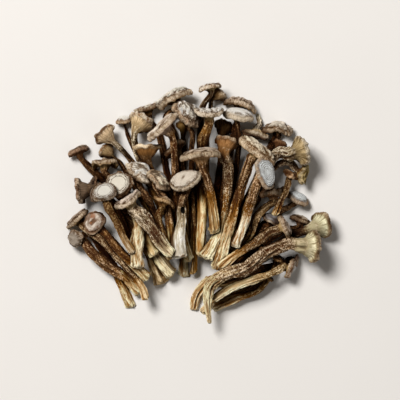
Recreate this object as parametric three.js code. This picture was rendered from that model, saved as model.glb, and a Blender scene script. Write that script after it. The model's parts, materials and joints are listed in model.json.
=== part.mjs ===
// A bunch of dried deer antler mushrooms, lying fanned out on a flat surface.
//
// Every mushroom grew as one piece, stem and cap together, so each is one closed solid of its own. The stems
// run in towards the front middle of the bunch, where the cut feet lie over each other, and the caps spread
// out round the back and the two sides. Nothing ties them: the later ones rest on the earlier ones.
//
// Millimetres. +X is to the right and +Y to the back of the fan, +Z is up, and the surface is at Z 0.

import * as THREE from 'three';

// ---------------------------------------------------------------------------------------------------------
// Driving dimensions
// ---------------------------------------------------------------------------------------------------------

const SCALE = 1;            // size of the whole bunch, 1 for a fan 200 mm across
const GAP = 0.35;           // air left between two mushrooms where one rests on the other
const PRESS = 0.7;          // depth by which a flank that lies on the surface is flattened against it
const CELL = 0.5;           // pitch of the height map that the pile settles on
const BEND_RADIUS = 60;     // tightest bend of a dried stem over what it lies on
const EASING = 5;           // length on each side over which a settled stem's bends are evened out
const STEEPEST = 0.5;       // steepest rise or fall of a mushroom along its line, height over length
const TILT_STEPS = 10;      // slopes tried each way between level and the steepest
const CAP_WEIGHT = 1.2;     // weight of a cap over its stem's

const SIDES_SMALL = 8;      // sides of a mushroom with a small cap
const SIDES = 10;           // sides of a mushroom with a middling cap
const SIDES_WIDE = 12;      // sides of a mushroom with a wide cap
const SMALL_CAP = 15;       // caps narrower than this are small
const WIDE_CAP = 23;        // caps wider than this are wide

const SHRIVEL = 0.07;       // how far a dried stem's section strays from an ellipse, as a share of its width
const WANDER = 0.8;         // how far a dried stem strays sideways from its line
const STEM_DEPTH = 0.86;    // height of a stem's section over its width
const FOOT_DEPTH = 0.55;    // height of a cut foot over its width
const FOOT_BULGE = 0.12;    // how far the cut face stands out, as a share of the foot's width

// The section of each form of cap, from the flare under it, round the rim, to the crown. Each ring is
// [distance from the axis, height along the axis], both as shares of the cap's radius. `neck` is where the
// stem gives way to the flare.
const CAP_FORMS = {
  plate: {
    neck: -0.66,
    rings: [[0.4, -0.44], [0.7, -0.29], [0.95, -0.24], [1.0, -0.05], [0.92, 0.12], [0.5, 0.2]],
    crown: 0.22,
  },
  trumpet: {
    neck: -1.0,
    rings: [[0.42, -0.6], [0.7, -0.27], [0.95, -0.04], [1.0, 0.12], [0.84, 0.19], [0.42, 0.08]],
    crown: 0.03,
  },
  dome: {
    neck: -0.55,
    rings: [[0.35, -0.34], [0.64, -0.24], [0.9, -0.28], [1.0, -0.1], [0.84, 0.2], [0.46, 0.36]],
    crown: 0.41,
  },
};

// ---------------------------------------------------------------------------------------------------------
// Finishes
// ---------------------------------------------------------------------------------------------------------

const FINISHES = {
  pale: { color: 0xcfc8bb, roughness: 0.85 },
  grey: { color: 0x8f8579, roughness: 0.85 },
  tan: { color: 0xa98a68, roughness: 0.85 },
  brown: { color: 0x6d523a, roughness: 0.85 },
  dark: { color: 0x4a3b2f, roughness: 0.85 },
};

// ---------------------------------------------------------------------------------------------------------
// The bunch, from the first mushroom laid down to the last one on top
// ---------------------------------------------------------------------------------------------------------
//
// line   the stem in plan, from the cut foot to the underside of the cap
// stem   widths along the line, from the foot to the neck
// cap    width across, and depth the other way where it isn't round
//   aim  compass direction that the crown faces in plan, in degrees from +X towards +Y
//   face how far the crown is turned up, in degrees: 0 stands on edge, 90 faces straight up, below 0 shows
//        the gills from above
//   ends how far the left and right ends bend towards the crown, as shares of the radius
//   wave height of the ripples round the rim, as a share of the radius
//   thick thickness against the usual one

const BUNCH = [
  // Long ones on the surface, under the left side.
  {
    name: 'left_hidden_cap', finish: 'brown',
    line: [[-50, -82], [-55, -68], [-64, -52], [-74, -36], [-82, -25]], stem: [7.5, 6.5, 6, 5.5, 4.5],
    cap: { form: 'plate', width: 13, aim: 125, face: 15 },
  },
  {
    name: 'left_grey_button', finish: 'grey',
    line: [[-44, -72], [-54, -61], [-66, -51], [-79, -41], [-92, -30.5]], stem: [6.5, 8, 8, 7, 5.5],
    cap: { form: 'dome', width: 14, aim: 200, face: 42 },
  },
  {
    name: 'left_far_cap', finish: 'dark',
    line: [[-34, -43], [-42, -24], [-60, 2], [-77, 20], [-90, 36]], stem: [7.5, 5.5, 5, 5, 5],
    cap: { form: 'plate', width: 16, depth: 12, aim: 107, face: -8, ends: [-0.1, 0.1], thick: 1.1 },
  },
  {
    name: 'left_small_trumpet', finish: 'tan',
    line: [[-35, -12], [-47, 8], [-59, 26], [-69, 36]], stem: [5, 4, 3.5, 3],
    cap: { form: 'trumpet', width: 14, aim: 138, face: -28 },
  },
  {
    name: 'left_pale_trumpet', finish: 'pale',
    line: [[-24, -4], [-38, 13], [-54, 32], [-64, 43], [-70, 48]], stem: [5, 4, 4, 3.5, 4],
    cap: { form: 'trumpet', width: 17.5, aim: 140, face: -30 },
  },
  {
    name: 'back_white_button', finish: 'pale',
    line: [[-34, 6], [-45, 29], [-51, 45], [-55.3, 59]], stem: [4.5, 3, 2.8, 2.8],
    cap: { form: 'dome', width: 11.5, aim: 94, face: 12, thick: 1.3 },
  },
  {
    name: 'left_wavy_bar', finish: 'tan',
    line: [[-35, -29], [-48, -6], [-60, 10], [-68, 21], [-70, 27]], stem: [6, 5, 4.5, 4.5, 5],
    cap: { form: 'plate', width: 21, depth: 14, aim: 94, face: -14, wave: 0.12, ends: [-0.1, -0.2], thick: 0.85 },
  },
  // Long ones on the surface, across the back.
  {
    name: 'back_left_bar', finish: 'pale',
    line: [[-16, -22], [-23, 18], [-31, 52], [-38, 68]], stem: [6, 5, 4.5, 4.5],
    cap: { form: 'plate', width: 19.5, depth: 13, aim: 104, face: 4, ends: [0, 0.06], thick: 0.95 },
  },
  {
    name: 'back_hooked_cap', finish: 'pale',
    line: [[-9, -24], [-13, 14], [-19, 48], [-22, 64], [-20, 77]], stem: [6, 5, 5, 5, 5],
    cap: { form: 'plate', width: 27, depth: 17, aim: 127, face: 8, ends: [-0.05, -0.3] },
  },
  {
    name: 'back_yellow_gill', finish: 'tan',
    line: [[-12, -24], [-11, 12], [-11, 40], [-10, 55]], stem: [6, 5, 4, 4],
    cap: { form: 'trumpet', width: 12, aim: 84, face: -30 },
  },
  {
    name: 'back_gill_cap', finish: 'tan',
    line: [[8, -4], [7, 30], [8, 60], [11, 71], [16, 79]], stem: [5, 4, 3.6, 3.4, 3.4],
    cap: { form: 'trumpet', width: 14, aim: 40, face: -20 },
  },
  {
    name: 'back_shaded_trumpet', finish: 'brown',
    line: [[12, -20], [15, 10], [18, 40], [20, 54]], stem: [6, 5, 4.5, 4.5],
    cap: { form: 'trumpet', width: 16, aim: 72, face: -28 },
  },
  {
    name: 'back_white_stem', finish: 'pale',
    line: [[-1, -12], [1, 30], [3, 62], [6, 73], [9.5, 84.5]], stem: [5.5, 4.5, 4.5, 4.5, 4],
    cap: { form: 'plate', width: 17.5, depth: 10, aim: 97, face: -4, ends: [-0.25, -0.05] },
  },
  {
    name: 'back_right_bar', finish: 'grey',
    line: [[18, -10], [24, 30], [29, 56], [32.6, 73]], stem: [6, 5, 4.5, 4.5],
    cap: { form: 'plate', width: 24.5, depth: 14, aim: 77, face: 4, ends: [-0.22, -0.28], thick: 0.9 },
  },
  {
    name: 'back_white_ellipse', finish: 'pale',
    line: [[22, -18], [28, 18], [32, 48], [31, 63]], stem: [6, 4.5, 4, 4.5],
    cap: { form: 'dome', width: 23, depth: 14, aim: 80, face: 12 },
  },
  {
    name: 'right_mottled_cap', finish: 'grey',
    line: [[30, -26], [43, 8], [54, 38], [60.5, 53.5]], stem: [6.5, 5, 5, 5.5],
    cap: { form: 'dome', width: 22.5, depth: 15, aim: 86, face: 14, ends: [-0.22, -0.3], wave: 0.06, thick: 0.85 },
  },
  {
    name: 'back_upturned_cap', finish: 'grey',
    line: [[45.5, 63], [46.5, 56], [43.5, 47.5]], stem: [3, 3.2, 3.6],
    cap: { form: 'plate', width: 19.5, depth: 12, aim: -104, face: 8, ends: [0.05, 0.05] },
  },
  // Long ones on the surface, under the right side and the front.
  {
    name: 'right_white_oval', finish: 'pale',
    line: [[40, -30], [54, -17], [67, -7], [75.7, 0.3]], stem: [5.5, 4.5, 4, 4],
    cap: { form: 'dome', width: 17, depth: 13, aim: 63, face: 22 },
  },
  {
    name: 'right_tucked_cap', finish: 'pale',
    line: [[23, -44], [33, -35], [45, -26], [57, -15.5]], stem: [6, 5, 4.5, 4.5],
    cap: { form: 'plate', width: 14.5, aim: 66, face: 26 },
  },
  {
    name: 'right_low_bar', finish: 'grey',
    line: [[26, -48], [48, -35], [65, -25], [78.5, -15.8]], stem: [6, 5, 4.5, 4.5],
    cap: { form: 'plate', width: 18.5, depth: 12, aim: 70, face: 0, ends: [0, -0.15] },
  },
  {
    name: 'right_upper_trumpet', finish: 'pale',
    line: [[38, -52], [54, -40], [68, -31], [82, -24], [94, -20]], stem: [7, 6, 5.5, 5.5, 7],
    cap: { form: 'trumpet', width: 20.5, aim: 22, face: -34 },
  },
  {
    name: 'right_dark_cap', finish: 'dark',
    line: [[5, -62], [20, -64], [40, -57], [60, -50], [75, -47]], stem: [6, 5.5, 5, 4.5, 4],
    cap: { form: 'plate', width: 9, aim: -10, face: 10 },
  },
  {
    name: 'front_lens_foot', finish: 'tan',
    line: [[-3, -84], [-1, -76], [5, -67], [20, -57], [38, -46], [50, -38]], stem: [5, 8.5, 7, 5, 5, 4.5],
    cap: { form: 'plate', width: 12, aim: 35, face: 10 },
  },
  {
    name: 'front_outer_stem', finish: 'brown',
    line: [[3, -86], [12, -78], [26, -73], [42, -66], [56, -55], [61, -45]], stem: [5, 5, 5, 4.5, 4.5, 4],
    cap: { form: 'plate', width: 12, aim: 60, face: 15 },
  },
  {
    name: 'front_flat_foot', finish: 'tan',
    line: [[12, -83], [20, -79], [33, -75], [46, -68], [55, -59.5]], stem: [6, 6.5, 5, 5, 4.5],
    cap: { form: 'plate', width: 8, aim: 30, face: 10 },
  },
  {
    name: 'front_bar_cap', finish: 'grey',
    line: [[12, -76], [24, -69], [38, -62], [55, -57], [70, -53.8]], stem: [5.5, 5.5, 5.5, 5, 5],
    cap: { form: 'plate', width: 15, depth: 11, aim: -22, face: 6 },
  },
  {
    name: 'middle_pale_stem', finish: 'pale',
    line: [[36, -13], [44, -2], [49, 7], [54, 14]], stem: [4.5, 4.5, 4, 4],
    cap: { form: 'plate', width: 11, aim: 50, face: 20 },
  },
  {
    name: 'right_shell_cap', finish: 'brown',
    line: [[24, -36], [36, -6], [50, 24], [62, 40]], stem: [6, 5, 4.5, 4.5],
    cap: { form: 'trumpet', width: 13, aim: 62, face: -24 },
  },
  {
    name: 'right_wavy_cap', finish: 'tan',
    line: [[28, -40], [39, -28], [47, -12], [57, 4.8]], stem: [7, 5.5, 5.5, 5.5],
    cap: { form: 'plate', width: 21.5, depth: 12, aim: 92, face: 8, wave: 0.16, ends: [0.1, 0.06] },
  },
  {
    name: 'right_short_stem', finish: 'tan',
    line: [[58, -13], [63, -3], [67, 8], [71, 18]], stem: [4.5, 5, 4.5, 4.5],
    cap: { form: 'plate', width: 13, aim: 62, face: 12 },
  },
  {
    name: 'right_crumpled_cap', finish: 'tan',
    line: [[49, 9], [53, 17], [59, 25], [69, 27], [80, 19]], stem: [5.5, 4.5, 4, 4, 4],
    cap: { form: 'dome', width: 17, depth: 12, aim: -14, face: 8, wave: 0.2 },
  },
  // The second layer of the left side.
  {
    name: 'left_flared_foot', finish: 'tan',
    line: [[-26, -63], [-32, -50], [-46, -26], [-64, -2], [-79, 10]], stem: [14, 8, 6, 5, 4.5],
    cap: { form: 'trumpet', width: 13, aim: 150, face: 20 },
  },
  {
    name: 'left_dark_trumpet', finish: 'brown',
    line: [[-19, -58], [-27, -46], [-44, -22], [-66, -2], [-88, 5]], stem: [10, 8, 6.5, 6, 6],
    cap: { form: 'trumpet', width: 19, depth: 17, aim: 186, face: -12, ends: [0.1, 0.15] },
  },
  {
    name: 'left_cream_foot', finish: 'pale',
    line: [[-32, -42], [-38, -29], [-47, -12], [-55, 2]], stem: [9, 6.5, 5, 4.5],
    cap: { form: 'dome', width: 10, aim: 130, face: 20 },
  },
  {
    name: 'left_small_cap', finish: 'grey',
    line: [[-47, -46], [-53, -30], [-62, -12], [-75.5, 4]], stem: [5, 4.5, 4, 3.6],
    cap: { form: 'dome', width: 16, depth: 13, aim: 160, face: 40 },
  },
  {
    name: 'left_thin_stem', finish: 'brown',
    line: [[-44, -43], [-50, -30], [-58, -12], [-66, 0]], stem: [5, 4, 3.8, 3.6],
    cap: { form: 'dome', width: 9, aim: 130, face: 20 },
  },
  {
    name: 'left_bar_cap', finish: 'grey',
    line: [[-38.5, -76], [-43, -66], [-52, -53], [-62, -41], [-76, -29], [-91, -15]],
    stem: [5.5, 5.5, 6, 5.5, 5.5, 6],
    cap: { form: 'plate', width: 20.5, depth: 15, aim: 129, face: 3, ends: [0, 0.05] },
  },
  {
    name: 'left_spotted_cap', finish: 'pale',
    line: [[-37, -60], [-46, -51], [-57, -40], [-67, -30], [-77.5, -18]], stem: [8, 6.5, 6, 5.5, 5.5],
    cap: { form: 'dome', width: 17, aim: 140, face: 66 },
  },
  // The middle of the back, over the long stems.
  {
    name: 'bent_stem_trumpet', finish: 'tan',
    line: [[-26, -12], [-36, 12], [-47, 37], [-47.5, 49], [-42, 57]], stem: [6, 5, 4.5, 4.5, 5],
    cap: { form: 'trumpet', width: 19.5, aim: 58, face: -30 },
  },
  {
    name: 'small_tilted_cap', finish: 'tan',
    line: [[-10, -59], [-9, -30], [-9, 0], [-12, 23], [-18, 38]], stem: [7.5, 6, 5.5, 5, 5],
    cap: { form: 'plate', width: 17, depth: 14, aim: 130, face: -14, ends: [0, -0.12] },
  },
  {
    name: 'back_wrinkled_cap', finish: 'pale',
    line: [[-3.5, -42], [-3, -12], [-4, 28], [-5, 52], [-7, 64]], stem: [7.5, 6, 3.8, 3.4, 4],
    cap: { form: 'dome', width: 25.5, depth: 20, aim: 54, face: 34, ends: [-0.1, -0.2] },
  },
  {
    name: 'thin_brown_stem', finish: 'brown',
    line: [[-3, -57], [-2.5, -36], [-2, -12], [-5, 4], [-9, 13]], stem: [5, 3.6, 3, 2.8, 2.8],
    cap: { form: 'plate', width: 10, aim: 112, face: 22 },
  },
  {
    name: 'back_crescent_cap', finish: 'pale',
    line: [[1.5, -43], [3, -14], [4, 18], [6, 48], [9, 64]], stem: [6, 7.5, 7.5, 7.5, 7],
    cap: { form: 'plate', width: 21.5, depth: 14, aim: 90, face: 12, ends: [0.28, 0.24] },
  },
  {
    name: 'long_pale_cap', finish: 'pale',
    line: [[-6, -47], [-12, -20], [-16, 8], [-18, 36], [-26.3, 54]], stem: [7, 5.5, 5.5, 5, 5.5],
    cap: { form: 'plate', width: 27.5, depth: 15, aim: 136, face: 10, ends: [0.05, 0.02], thick: 0.9 },
  },
  {
    name: 'pale_thin_plate', finish: 'tan',
    line: [[-19, -38], [-22, -14], [-29, 10], [-36, 28], [-38, 38]], stem: [5.5, 5.5, 5, 5, 5.5],
    cap: { form: 'trumpet', width: 21.5, depth: 13, aim: 90, face: -6, thick: 0.85 },
  },
  {
    name: 'folded_white_cap', finish: 'pale',
    line: [[-25, -40], [-29, -24], [-35, -4], [-43, 20]], stem: [6, 5.5, 5, 5],
    cap: { form: 'dome', width: 25, depth: 16, aim: 57, face: 34, ends: [-0.1, -0.15], wave: 0.12 },
  },
  {
    name: 'brown_trumpet', finish: 'tan',
    line: [[6, -45], [16, -26], [22, -2], [23, 24], [22, 42]], stem: [10, 7, 7.5, 7, 8],
    cap: { form: 'trumpet', width: 19, depth: 17, aim: 72, face: -24 },
  },
  {
    name: 'big_bar_cap', finish: 'grey',
    line: [[12.5, -26], [12, -10], [8, 10], [2, 34]], stem: [8, 6.5, 6.5, 7.5],
    cap: { form: 'plate', width: 32, depth: 17, aim: 98, face: 3, ends: [-0.1, -0.16], thick: 0.9 },
  },
  // The middle of the right side.
  {
    name: 'right_large_trumpet', finish: 'grey',
    line: [[31, -30], [39, -6], [48, 20], [61, 33], [77, 35]], stem: [7.5, 7, 6.5, 7, 8.5],
    cap: { form: 'trumpet', width: 20, aim: 14, face: -34 },
  },
  {
    name: 'tan_rolled_cap', finish: 'tan',
    line: [[14, -53], [20, -36], [29, -8], [34, 14], [45, 36]], stem: [8, 7, 6.5, 6, 6.5],
    cap: { form: 'dome', width: 31, depth: 15, aim: 57, face: 8, ends: [0.1, -0.1], thick: 0.8 },
  },
  {
    name: 'white_oval_cap', finish: 'pale',
    line: [[28, -36], [36, -14], [44, 6], [51.5, 18.2]], stem: [7.5, 6, 5.5, 5.5],
    cap: { form: 'plate', width: 21.5, depth: 18, aim: 25, face: 44 },
  },
  {
    name: 'right_grey_bar', finish: 'grey',
    line: [[17, -53], [27, -44.5], [42, -34.5], [55, -26], [66, -21]], stem: [7.5, 6.5, 6, 6, 6],
    cap: { form: 'plate', width: 19, depth: 13, aim: 25, face: 3 },
  },
  // The last ones laid on top.
  {
    name: 'left_wide_disc', finish: 'pale',
    line: [[-44.5, -52], [-45, -36], [-45, -18], [-52, -2], [-59, 10.5]], stem: [9, 9.5, 7, 6, 5.5],
    cap: { form: 'plate', width: 21, aim: 128, face: 62 },
  },
  {
    name: 'left_front_disc', finish: 'pale',
    line: [[-48.5, -41], [-55, -30], [-62, -16], [-67, -5], [-69.5, 5]], stem: [5, 5, 5, 5, 5],
    cap: { form: 'plate', width: 17.5, depth: 15, aim: 105, face: 62 },
  },
  {
    name: 'beige_patched_cap', finish: 'tan',
    line: [[-19.5, -38], [-20.5, -20], [-24, -2], [-28, 14]], stem: [6, 5.5, 5, 5],
    cap: { form: 'dome', width: 20, depth: 14, aim: 44, face: 32, wave: 0.06 },
  },
  {
    name: 'brown_crescent', finish: 'brown',
    line: [[-20, -45], [-27, -25], [-28, -10], [-24, -1]], stem: [6, 4.5, 4, 4.5],
    cap: { form: 'plate', width: 16.5, depth: 11, aim: 70, face: 3, ends: [-0.05, -0.3] },
  },
  {
    name: 'wide_pale_cap', finish: 'pale',
    line: [[-13.5, -44], [-13.5, -32], [-12.5, -14], [-12, -4], [-9.8, 14]], stem: [12, 9, 6.5, 6, 5.5],
    cap: { form: 'plate', width: 23.5, depth: 18, aim: 116, face: 44 },
  },
  {
    name: 'left_crescent', finish: 'grey',
    line: [[-19, -42], [-25, -35], [-34, -24], [-44, -11], [-51.5, -2]], stem: [6.5, 7.5, 8.5, 8.5, 7.5],
    cap: { form: 'plate', width: 23, depth: 14, aim: 118, face: 5, ends: [0.16, 0.24], thick: 0.9 },
  },
  {
    name: 'right_big_trumpet', finish: 'grey',
    line: [[9, -94], [7.5, -80], [9, -67], [20, -58.5], [36, -52], [52, -41.5], [70, -34.5], [87, -36.5]],
    stem: [2.6, 5, 8, 8, 8.5, 8.5, 8, 9.5],
    cap: { form: 'trumpet', width: 23.5, depth: 21, aim: -4, face: -26 },
  },
];

// ---------------------------------------------------------------------------------------------------------
// One mushroom
// ---------------------------------------------------------------------------------------------------------

const UP = new THREE.Vector3(0, 0, 1);
const radians = THREE.MathUtils.degToRad;

/** A repeatable number from 0 to 1 for the given mushroom and trait. */
function trait(index, number) {
  const value = Math.sin(index * 12.9898 + number * 78.233) * 43758.5453;
  return value - Math.floor(value);
}

/** The value at share t of a list whose entries are evenly spaced from 0 to 1. */
function along(values, t) {
  const place = t * (values.length - 1);
  const first = Math.min(Math.floor(place), values.length - 2);
  return THREE.MathUtils.lerp(values[first], values[first + 1], place - first);
}

/** The unit direction that a cap's crown faces. */
function crownDirection(cap) {
  const aim = radians(cap.aim);
  const face = radians(cap.face);
  return new THREE.Vector3(Math.cos(face) * Math.cos(aim), Math.cos(face) * Math.sin(aim), Math.sin(face));
}

/** The section frame whose `across` is level, for a direction that isn't straight up. */
function levelFrame(direction) {
  const across = new THREE.Vector3().crossVectors(direction, UP).normalize();
  const over = new THREE.Vector3().crossVectors(across, direction).normalize();
  return { across, over };
}

/** How many sides the mushroom's rings have. */
function sidesFor(cap) {
  if (cap.width < SMALL_CAP) return SIDES_SMALL;
  return cap.width > WIDE_CAP ? SIDES_WIDE : SIDES;
}

/** The middle line of the stem, from the foot to the middle of the cap. */
function stemCurve(spec, index) {
  const { line, cap } = spec;
  const crown = crownDirection(cap);
  const neckLength = -CAP_FORMS[cap.form].neck * cap.width / 2;
  const head = new THREE.Vector3(...line.at(-1), 0);
  const neck = head.clone().addScaledVector(crown, -neckLength);
  const points = line.slice(0, -1).map(([x, y]) => new THREE.Vector3(x, y, 0));
  // A point of the line that lies closer to the cap than the neck would fold the stem back on itself.
  const clear = points.filter((point, i) => i === 0 || point.distanceTo(head) > neckLength * 1.25);
  const swing = trait(index, 1) * Math.PI * 2;
  clear.slice(1).forEach((point, i) => {
    const heading = head.clone().sub(clear[0]).normalize();
    point.addScaledVector(new THREE.Vector3(-heading.y, heading.x, 0), WANDER * Math.sin(swing + i * 2.4));
  });
  return new THREE.CatmullRomCurve3([...clear, neck, head], false, 'centripetal');
}

/** The rings of the stem, from the foot up to the neck. */
function stemRings(spec, index, sides) {
  const curve = stemCurve(spec, index);
  const neckLength = -CAP_FORMS[spec.cap.form].neck * spec.cap.width / 2;
  const neckShare = 1 - neckLength / curve.getLength();
  const count = 3 + Math.round(spec.line.length * 1.1);
  const rings = [];
  for (let i = 0; i < count; i += 1) {
    const t = i / (count - 1);
    const centre = curve.getPointAt(t * neckShare);
    const { across, over } = levelFrame(curve.getTangentAt(t * neckShare));
    const half = along(spec.stem, t) / 2;
    const depth = THREE.MathUtils.lerp(FOOT_DEPTH, STEM_DEPTH, Math.min(1, t * 2.5));
    const ring = [];
    for (let k = 0; k < sides; k += 1) {
      const angle = (k / sides) * Math.PI * 2;
      const uneven = 1 + SHRIVEL * (Math.sin(2 * angle + 5 * trait(index, 2) + 2.1 * i)
        + Math.cos(3 * angle + 7 * trait(index, 3) + 1.3 * i));
      ring.push(centre.clone()
        .addScaledVector(across, Math.cos(angle) * half * uneven)
        .addScaledVector(over, Math.sin(angle) * half * depth * uneven));
    }
    rings.push(ring);
  }
  const start = curve.getPointAt(0).addScaledVector(curve.getTangentAt(0), -FOOT_BULGE * spec.stem[0]);
  return { rings, start, head: curve.getPointAt(1) };
}

/** The rings of the cap, from the flare under it to the top, and the crown's middle point. */
function capRings(spec, index, sides, head) {
  const { cap } = spec;
  const form = CAP_FORMS[cap.form];
  const radius = cap.width / 2;
  const squash = (cap.depth ?? cap.width) / cap.width;
  const thick = cap.thick ?? 1;
  const [leftEnd, rightEnd] = cap.ends ?? [0, 0];
  const ripple = trait(index, 4) * Math.PI * 2;
  const crown = crownDirection(cap);
  const { across, over } = levelFrame(crown);
  const neckHalf = spec.stem.at(-1) / 2;
  const rings = form.rings.map(([reach, height]) => {
    const ring = [];
    for (let k = 0; k < sides; k += 1) {
      const angle = (k / sides) * Math.PI * 2;
      const uneven = 1 + 0.05 * reach * Math.sin(2 * angle + ripple) + 0.04 * reach * Math.cos(3 * angle - ripple);
      const side = reach * Math.cos(angle) * uneven;
      const bend = side * side * (side < 0 ? leftEnd : rightEnd);
      const wave = (cap.wave ?? 0) * reach * reach * Math.sin(3 * angle + ripple);
      // The flare is never narrower than the stem that it grows from.
      const x = Math.cos(angle) * Math.max(reach * uneven * radius, neckHalf);
      const y = Math.sin(angle) * Math.max(reach * uneven * radius * squash, neckHalf);
      ring.push(head.clone()
        .addScaledVector(across, x)
        .addScaledVector(over, y)
        .addScaledVector(crown, (height * thick + bend + wave) * radius));
    }
    return ring;
  });
  return { rings, end: head.clone().addScaledVector(crown, form.crown * thick * radius) };
}

/** The whole mushroom, not yet settled: its points ring by ring, and the faces of its stem and of its cap. */
function growMushroom(spec, index) {
  const sides = sidesFor(spec.cap);
  const stem = stemRings(spec, index, sides);
  const cap = capRings(spec, index, sides, stem.head);
  const rings = [...stem.rings, ...cap.rings];
  const points = [stem.start, ...rings.flat(), cap.end].map((point) => point.multiplyScalar(SCALE));
  const at = (ring, side) => 1 + ring * sides + (side % sides);
  const band = (r) => Array.from({ length: sides }, (_, k) => [
    [at(r, k), at(r + 1, k + 1), at(r, k + 1)],
    [at(r, k), at(r + 1, k), at(r + 1, k + 1)],
  ]).flat();
  const fan = (middle, r, turn) => Array.from({ length: sides }, (_, k) => (
    turn ? [middle, at(r, k + 1), at(r, k)] : [middle, at(r, k), at(r, k + 1)]));
  const bands = rings.slice(1).map((_, r) => band(r));
  const neck = stem.rings.length - 1;
  return {
    points,
    stemPoints: 1 + stem.rings.length * sides,
    stemFaces: [...fan(0, 0, false), ...bands.slice(0, neck).flat()],
    capFaces: [...bands.slice(neck).flat(), ...fan(points.length - 1, rings.length - 1, true)],
  };
}

// ---------------------------------------------------------------------------------------------------------
// Settling the pile
// ---------------------------------------------------------------------------------------------------------

/** Calls visit(column, row, z) for every cell of the height map that the triangle covers. */
function coverTriangle([a, b, c], visit) {
  const area = (b.x - a.x) * (c.y - a.y) - (c.x - a.x) * (b.y - a.y);
  if (Math.abs(area) < 1e-9) return;
  const low = (values) => Math.floor(Math.min(...values) / CELL);
  const high = (values) => Math.ceil(Math.max(...values) / CELL);
  for (let column = low([a.x, b.x, c.x]); column <= high([a.x, b.x, c.x]); column += 1) {
    for (let row = low([a.y, b.y, c.y]); row <= high([a.y, b.y, c.y]); row += 1) {
      const x = column * CELL;
      const y = row * CELL;
      const v = ((x - a.x) * (c.y - a.y) - (c.x - a.x) * (y - a.y)) / area;
      const w = ((b.x - a.x) * (y - a.y) - (x - a.x) * (b.y - a.y)) / area;
      if (v >= 0 && w >= 0 && v + w <= 1) visit(column, row, a.z + v * (b.z - a.z) + w * (c.z - a.z));
    }
  }
}

/** The lowest and highest point of some faces over each cell that they cover. */
function envelope(points, faces) {
  const cells = new Map();
  for (const face of faces) {
    coverTriangle(face.map((i) => points[i]), (column, row, z) => {
      const key = `${column},${row}`;
      const cell = cells.get(key);
      if (!cell) cells.set(key, { column, row, low: z, high: z });
      else {
        cell.low = Math.min(cell.low, z);
        cell.high = Math.max(cell.high, z);
      }
    });
  }
  return [...cells.values()];
}

/** What has been laid down so far, as the height that a new mushroom must clear over each cell. */
class Pile {
  constructor() {
    this.tops = new Map();
  }

  /** The height to clear over a cell, its neighbours included, or the surface's where nothing lies. */
  topAt(column, row) {
    return this.tops.get(`${column},${row}`) ?? -PRESS;
  }

  /** Raises the pile by a settled mushroom, one cell wider all round than it is. */
  add(cells) {
    for (const { column, row, high } of cells) {
      for (let i = -1; i <= 1; i += 1) {
        for (let j = -1; j <= 1; j += 1) {
          const key = `${column + i},${row + j}`;
          this.tops.set(key, Math.max(this.tops.get(key) ?? -PRESS, high + GAP));
        }
      }
    }
  }
}

/** The least lift along a stem that clears every need and bends no tighter than a dried stem can. */
function bendOver(needs) {
  const arched = needs.map((_, i) => Math.max(...needs.map((need, j) => need - (i - j) ** 2 / (2 * BEND_RADIUS))));
  const eased = arched.map((_, i) => {
    const near = arched.slice(Math.max(0, i - EASING), i + EASING + 1);
    return near.reduce((sum, value) => sum + value, 0) / near.length;
  });
  const shortfall = Math.max(0, ...needs.map((need, i) => need - eased[i]));
  return eased.map((value) => value + shortfall);
}

/** The lift along a stem that leaves it lying lowest, tipped up or down towards the cap as far as that helps. */
function lieLowest(needs) {
  let lowest = null;
  for (let step = -TILT_STEPS; step <= TILT_STEPS; step += 1) {
    const slope = (STEEPEST * step) / TILT_STEPS;
    const lifts = bendOver(needs.map((need, i) => need - slope * i)).map((lift, i) => lift + slope * i);
    const stemHeight = lifts.reduce((sum, lift) => sum + lift, 0) / lifts.length;
    const height = stemHeight + CAP_WEIGHT * lifts.at(-1);
    if (!lowest || height < lowest.height) lowest = { height, lifts };
  }
  return lowest.lifts;
}

/** Lowers a mushroom onto the pile. Its stem follows what it lies on, and its cap stays rigid. */
function settle({ points, stemPoints, stemFaces, capFaces }, line, pile) {
  const foot = new THREE.Vector2(...line[0]).multiplyScalar(SCALE);
  const head = new THREE.Vector2(...line.at(-1)).multiplyScalar(SCALE);
  const length = head.distanceTo(foot);
  const run = head.clone().sub(foot).normalize();
  const last = Math.ceil(length);
  const station = (x, y) => THREE.MathUtils.clamp(Math.round((x - foot.x) * run.x + (y - foot.y) * run.y), 0, last);
  const needs = new Array(last + 1).fill(-PRESS);
  for (const { column, row, low } of envelope(points, stemFaces)) {
    const i = station(column * CELL, row * CELL);
    needs[i] = Math.max(needs[i], pile.topAt(column, row) - low);
  }
  for (const { column, row, low } of envelope(points, capFaces)) {
    needs[last] = Math.max(needs[last], pile.topAt(column, row) - low);
  }
  const lifts = lieLowest(needs);
  points.forEach((point, i) => {
    const lift = i < stemPoints ? lifts[station(point.x, point.y)] : lifts[last];
    point.z = Math.max(0, point.z + lift);
  });
  pile.add(envelope(points, [...stemFaces, ...capFaces]));
}

// ---------------------------------------------------------------------------------------------------------
// The model
// ---------------------------------------------------------------------------------------------------------

/** A settled mushroom as a closed mesh with a finish of its own. */
function toMesh({ points, stemFaces, capFaces }, { name, finish }) {
  const geometry = new THREE.BufferGeometry();
  geometry.setAttribute('position', new THREE.Float32BufferAttribute(points.flatMap((p) => p.toArray()), 3));
  geometry.setIndex([...stemFaces, ...capFaces].flat());
  geometry.computeVertexNormals();
  const mesh = new THREE.Mesh(geometry, new THREE.MeshStandardMaterial({ ...FINISHES[finish], metalness: 0 }));
  mesh.name = name;
  return mesh;
}

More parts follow.
